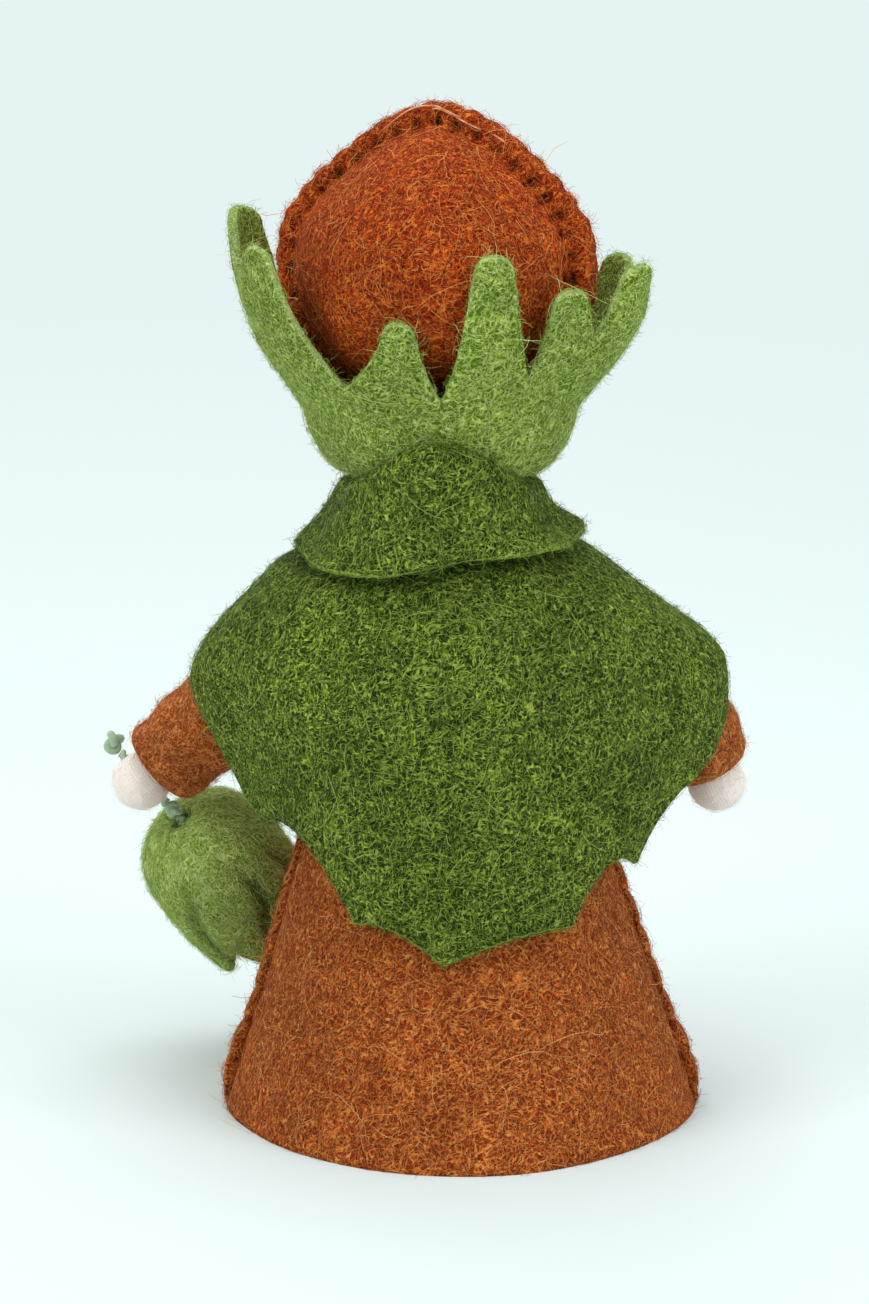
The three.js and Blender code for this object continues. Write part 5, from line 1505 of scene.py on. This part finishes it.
def hat_grid(profile, pits):
    """The middle of a hat panel, and how deep the stitches dent its outside in the groove behind the lip; the
    dent also paints shade there.
    """
    around = np.radians(np.arange(0, 360, 1.5))[:, None]
    radius = profile[:, 0] * hat_share(from_crown(around))
    grid = np.stack([radius * np.sin(around), profile[:, 1] + 0 * around, radius * np.cos(around)], -1)
    pulse = (0.5 + 0.5 * np.cos(HAT_STITCHES * around + STITCH_DRIFT * np.sin(5 * around))) ** 2
    pulse = pulse * (0.75 + 0.25 * np.sin(7 * around + 2))
    seam_gap = HAT_EDGE - profile[:, 0]
    walked = walked_along(profile)
    corner = np.argmin(np.hypot(seam_gap - HAT_LIP - HAT_TUCK, np.abs(profile[:, 1] - HAT_SEAM_Y) - LIP_Y))
    from_groove = np.abs(np.abs(walked - walked[corner]) - FELT / 2 - 0.15)
    # The pits and the groove are dented and painted darker: painted shade.
    pit = pits * (0.14 + pulse) * bell(from_groove, 0.55)
    edge = 0.3 * pulse * bell(seam_gap, 0.7)
    normals = sheet_normals(grid, True)
    if (normals * grid).sum() < 0:
        normals = -normals
    soft = 0.2 * lumps(grid, 7, 9) + 0.06 * lumps(grid, 1.8, 10)
    grid = grid + normals * soft[..., None]
    return grid - unit(grid * (1, 0, 1)) * edge[..., None], pit


bend = np.radians(np.linspace(0.05, 86, 44))
behind, ahead = HAT_SEAM_Y + LIP_Y, HAT_SEAM_Y - LIP_Y
dome = np.stack([(HAT_RADIUS - HAT_TUCK) * np.sin(bend), behind + HAT_BULGE * np.cos(bend) ** 1.2], -1)
back_profile = np.concatenate([dome, even_profile([dome[-1], (HAT_EDGE, behind)], 0.2)[1:]])
share = np.linspace(0, 1, 26)
band = np.stack([HAT_RADIUS - HAT_TUCK * (1 - share) - 1.2 * share**2,
                 ahead - 0.5 - (HAT_BAND_DEPTH - LIP_Y - 0.5) * share], -1)
front_profile = np.concatenate([even_profile([(HAT_EDGE, ahead), band[0]], 0.2)[:-1], band])


# %% Hat panels
def neck_gap(piece):
    """Opens the hat under the head, where the neck comes up, by cutting a round hole for it."""
    count = 40
    rings = [neck_ring(NECK_RADIUS + 1.6, z) for z in (HEAD_HEIGHT - HEAD_RADIUS - 7, HEAD_HEIGHT - 7.4)]
    sides = [(i, (i + 1) % count, (i + 1) % count + count, i + count) for i in range(count)]
    faces = sides + [tuple(range(count))[::-1], tuple(range(count, 2 * count))]
    cutter = finished("neck_cutter", place(np.concatenate(rings)), faces)
    cut = piece.modifiers.new("neck_gap", "BOOLEAN")
    cut.object = cutter
    cut.operation = "DIFFERENCE"
    cut.solver = "EXACT"
    cut.use_self = True
    name = piece.name
    made = made_plain(piece, name + "_cut", cut)
    bpy.data.objects.remove(piece)
    bpy.data.objects.remove(cutter)
    made.name = name
    return made


def close_pole(piece):
    """Draws the small hole at the middle of the dome together."""
    shape = bmesh.new()
    shape.from_mesh(piece.data)
    pole = Vector(place(on_head((0, behind + HAT_BULGE, 0))))
    near = [v for v in shape.verts if (v.co - pole).length < FELT * MM]
    bmesh.ops.remove_doubles(shape, verts=near, dist=0.05 * MM)
    bmesh.ops.delete(shape, geom=[e for e in shape.edges if not e.link_faces], context="EDGES")
    shape.to_mesh(piece.data)
    shape.free()


HAT_PANELS = (("hat_back_panel", back_profile, 0.62, (0.046, 0.046), 0.00125),
              ("hat_front_band", front_profile, 0.2, (0.094, 0.0125), None))
for label, profile, pits, flat, area in HAT_PANELS:
    grid, dent = hat_grid(profile, pits)
    piece = felt_sheet("felt_" + label, on_head(grid), [felts["hat"]], centre=HEAD_CENTRE, ring=True,
                       fuzz_of=(1.0, 0.05), dent=dent)
    if profile is back_profile:
        close_pole(piece)
    piece = neck_gap(piece)
    fuzz = fibres_on(piece, "hat", 4.2, 60 + len(label), pale=0.14, dark=0.35)
    strays = stray_hairs(piece, "hat", 160 + len(label))
    assign((piece, fuzz, strays), "hat_felt", "head", label)

# %% Round seam of the hat
hat_stitch = stitch_shape("hat_stitch", LIP_Y + FELT / 2 - 0.3, 1.7, 0.12)
fine = np.linspace(0, 2 * np.pi, 4000)
peaks = (HAT_STITCHES * fine + STITCH_DRIFT * np.sin(5 * fine)) / (2 * np.pi)
bearing = np.interp(np.arange(HAT_STITCHES), peaks, fine)
signed = from_crown(bearing)
upper = np.abs(signed) < np.radians(150)
edge_radius = HAT_EDGE * hat_share(signed) - 0.62
x, z = edge_radius * np.sin(bearing), edge_radius * np.cos(bearing)
spots = np.stack([x, np.full_like(bearing, HAT_SEAM_Y), z], -1)[upper]
outward = unit(spots * (1, 0, 1))
forward = np.cross(outward, (0, 1, 0))
row = stitch_row("hat_seam_stitches", on_head(spots), outward @ HEAD_AXES.T, forward @ HEAD_AXES.T,
                 hat_stitch, threads["rust"], 6)
assign([row], "hat_felt", "head")

# %% Loose thread along the top of the seam: from and to which angle, how far past the edge, and how wavy
LOOSE_ENDS = ((-9, 27, -0.35, 0.35), (-30, 2, -0.75, 0.25))
for number, (start, end, out, wave) in enumerate(LOOSE_ENDS):
    bearing = np.radians(np.linspace(start, end, 40))
    radius = (HAT_EDGE + out) * hat_share(bearing) + wave * np.sin(11 * bearing + number)
    level = behind + FELT / 2 + 0.12 + 0.1 * np.sin(23 * bearing)
    strand = on_head(np.stack([radius * np.sin(bearing), level, radius * np.cos(bearing)], -1))
    points, faces = tube(strand, 0.09, 6)
    thread = finished(f"hat_loose_thread_{number + 1}", place(points), faces, [threads["orange"]])
    assign([thread], "hat_felt", "head")

# %% [markdown]
# The husk stands round the hat as the leafy cup stands round a hazelnut. It is one strip of light green
# felt whose upper edge is cut into long rounded lobes, closed round the neck below. Its fibres are brushed
# up, so they are longer and paler than on the cape, above all along the edges.

# %% Husk tables
CUP_BOTTOM, CUP_RADIUS, CUP_RISE, HUSK_EASE, LOBE_ROUND = 64.4, 12.9, 6.4, 1.0, 1.6
HUSK_BOWL = [(0, 0), (3.6, 2.5), (5.8, 4.2), (9.5, 5.9), (13, 6.9), (20, 8.0)]
HUSK_SPREAD = [(-160, 0.55), (-136, 0.6), (-114, 0.98), (-90, 1.05), (-64, 1.15), (-44, 0.66), (-16, 0.5),
               (16, 0.45), (38, 0.68), (63, 0.92), (90, 0.98), (113, 1.15), (136, 0.6), (160, 0.55)]
HUSK_LOBES = [(-136, 79, 6), (-115, 83.4, 6.5), (-64, 85.3, 6), (-44, 83.4, 6), (-17, 87.2, 6.3),
              (15, 80.8, 6), (63, 87.0, 6.5), (113, 88.0, 6.5), (136, 79, 6)]
LOBE_SIDE = ((0.2, 0.08), (0.42, 0.24), (0.62, 0.43), (0.8, 0.65), (0.92, 0.83))
HUSK_NOTCHES = [(-152, 72), (-125.5, 75.5), (-90, 77.5), (-54, 78.6), (-33, 75.2), (0, 73.2), (38, 74),
                (89, 78), (124.5, 76), (152, 72)]
CUP = [(NECK_RADIUS + 1.1, CUP_BOTTOM), (CUP_RADIUS * 0.66, CUP_BOTTOM + 0.1),
       (CUP_RADIUS * 0.81, CUP_BOTTOM + 1.0), (CUP_RADIUS * 0.92, CUP_BOTTOM + 3.2),
       (CUP_RADIUS, CUP_BOTTOM + CUP_RISE)]


def husk_edge():
    """Upper edge as (angle, height): round-ended lobes between sharp notches."""
    edge = [HUSK_NOTCHES[0]]
    sides = zip(HUSK_LOBES, HUSK_NOTCHES[:-1], HUSK_NOTCHES[1:])
    for (tip, top, half), (before, start), (notch, low) in sides:
        shoulder = top - LOBE_ROUND
        for along, up in LOBE_SIDE:
            edge.append((before + (tip - half - before) * along, start + (shoulder - start) * up))
        for turn in np.radians((-75, -45, -15, 15, 45, 75)):
            edge.append((tip + half * math.sin(turn), shoulder + LOBE_ROUND * math.cos(turn)))
        for along, up in LOBE_SIDE[::-1]:
            edge.append((notch + (tip + half - notch) * along, low + (shoulder - low) * up))
        edge.append((notch, low))
    return np.array(edge, float)


def hat_reach(angle, height):
    """How far out the hat stands from the neck, in one direction at one height."""
    radii = np.arange(2 * HAT_RADIUS, 0, -0.1)
    points = np.stack([NECK_X + radii * math.sin(angle), NECK_Y + radii * math.cos(angle),
                       np.full_like(radii, height)], -1)
    local = (points - HEAD_CENTRE) @ HEAD_AXES
    rounded = np.hypot(local[:, 0], local[:, 2]) / hat_share(np.arctan2(local[:, 0], local[:, 2]))
    ahead = HAT_SEAM_Y - local[:, 1]
    near = (np.abs(ahead) < LIP_Y + FELT / 2) & (rounded < HAT_EDGE + FELT / 2)
    dome_reach = np.hypot(rounded / (HAT_RADIUS + FELT / 2), ahead / (HAT_BULGE + LIP_Y + FELT / 2))
    front = (ahead > 0) & (ahead < HAT_BAND_DEPTH + FELT) & (rounded < HAT_RADIUS + FELT / 2)
    inside = near | (ahead < 0) & (dome_reach < 1) | front
    return radii[np.argmax(inside)] if inside.any() else 0


# %% Husk
edge = husk_edge()
angles = np.unique(np.concatenate([np.arange(edge[0, 0], edge[-1, 0] + 0.5, 1.5), edge[:, 0]]).round(3))
angles = angles[np.append(True, np.diff(angles) > 0.35)]
rim = CUP_BOTTOM + CUP_RISE
cup_line = smooth(CUP, 22)
grid = []
for angle, top in zip(angles, between(edge, angles)):
    bearing = math.radians(angle)
    heights = np.linspace(rim, top, 34)[1:]
    flared = CUP_RADIUS + between(HUSK_BOWL, heights - rim) * between(HUSK_SPREAD, angle)
    clear = np.array([hat_reach(bearing, h) for h in heights]) + FELT / 2 + HUSK_EASE
    radii = np.convolve(np.pad(np.maximum(flared, clear), 2, "edge"), np.ones(5) / 5, "valid")
    radius = np.append(cup_line[:, 0], radii)
    height = np.append(cup_line[:, 1], heights)
    x, y = NECK_X + radius * math.sin(bearing), NECK_Y + radius * math.cos(bearing)
    grid.append(np.stack([x, y, height], -1))
grid = np.array(grid)
soft = 0.22 * lumps(grid, 5, 12) + 0.08 * lumps(grid, 1.8, 13)
husk_collar = felt_sheet("felt_husk", grid + sheet_normals(grid, False) * soft[..., None],
                         [felts["husk"], felts["husk_edge"]], centre=HEAD_CENTRE, fuzz_of=(1.0, 0.5))
fuzz = fibres_on(husk_collar, "husk", 3.2, 71, tilt=0.18, comb=0.35, pale=0.3, dark=0.25)
strays = stray_hairs(husk_collar, "husk", 171, 0.06)
assign((husk_collar, fuzz, strays), "husk_felt", "head", "husk_collar")

# %% [markdown]
# Inside, the doll is built on stems of wire wound with chenille and filled with carded wool. They hardly
# show, but each gets its real finish. The wadding that fills the bodice is a lumpy mass, seen from below up
# the skirt.

# %% Stems and wadding
def fluffy(name, light, dark):
    material, tree = new_material(name)
    spot = add(tree, "ShaderNodeTexCoord").outputs["Object"]
    lines = fibre_lines(tree, drifting(tree, spot), LAYS[0], 0.6, 2, 0.05).outputs[0]
    two_tone(tree, lines, (dark, light), 0.6, 0.15, {"Roughness": 0.95, "Sheen Weight": 0.4})
    return material


chenille = fluffy("chenille_stem_cream", "#EDE6D8", "#BFB6A4")
wadding = fluffy("carded_wool_cream", "#F4EEE1", "#D2C8B6")
for node_name in ("spine_stem", "shoulder_stem", "left_arm_stem", "right_arm_stem"):
    stem = frame["nodes"][node_name]
    stem.data.materials.clear()
    stem.data.materials.append(chenille)


def softened(name, node_name, body, size, amount):
    """A lumpy copy of a stuffed solid, kept inside it."""
    shape = bmesh.new()
    shape.from_mesh(frame["nodes"][node_name].data)
    bmesh.ops.remove_doubles(shape, verts=shape.verts, dist=1e-6)
    mesh = bpy.data.meshes.new(name)
    shape.to_mesh(mesh)
    shape.free()
    made = bpy.data.objects.new(name, mesh)
    bpy.context.collection.objects.link(made)
    remesh = made.modifiers.new("even", "REMESH")
    remesh.mode = "VOXEL"
    remesh.voxel_size = size * MM
    done = made_plain(made, name, remesh)
    bpy.data.objects.remove(made)
    done.name = name
    spots = points_of(done)
    normals = np.array([v.normal for v in done.data.vertices])
    depth = amount * MM * (0.5 + 0.5 * lumps(spots / MM, 2.2, 15))
    done.data.vertices.foreach_set("co", (spots - normals * depth[:, None]).ravel())
    done.data.materials.clear()
    done.data.materials.append(wadding)
    done.data.polygons.foreach_set("use_smooth", [True] * len(done.data.polygons))
    assign([done], "wadding", body, node_name)


softened("wadding_in_bodice", "torso_stuffing", "body", 0.45, 0.4)
softened("wadding_in_head", "head_wool_core", "head", 0.6, 0.3)

# %% Clear away the shapes that were repeated, and measure
for shape in [*FIBRES.objects, dress_stitch, hat_stitch]:
    bpy.data.objects.remove(shape)
bpy.data.collections.remove(FIBRES)
triangles = sum(len(p.vertices) - 2 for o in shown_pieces() if o.type == "MESH" for p in o.data.polygons)
print("triangles in the object:", triangles)
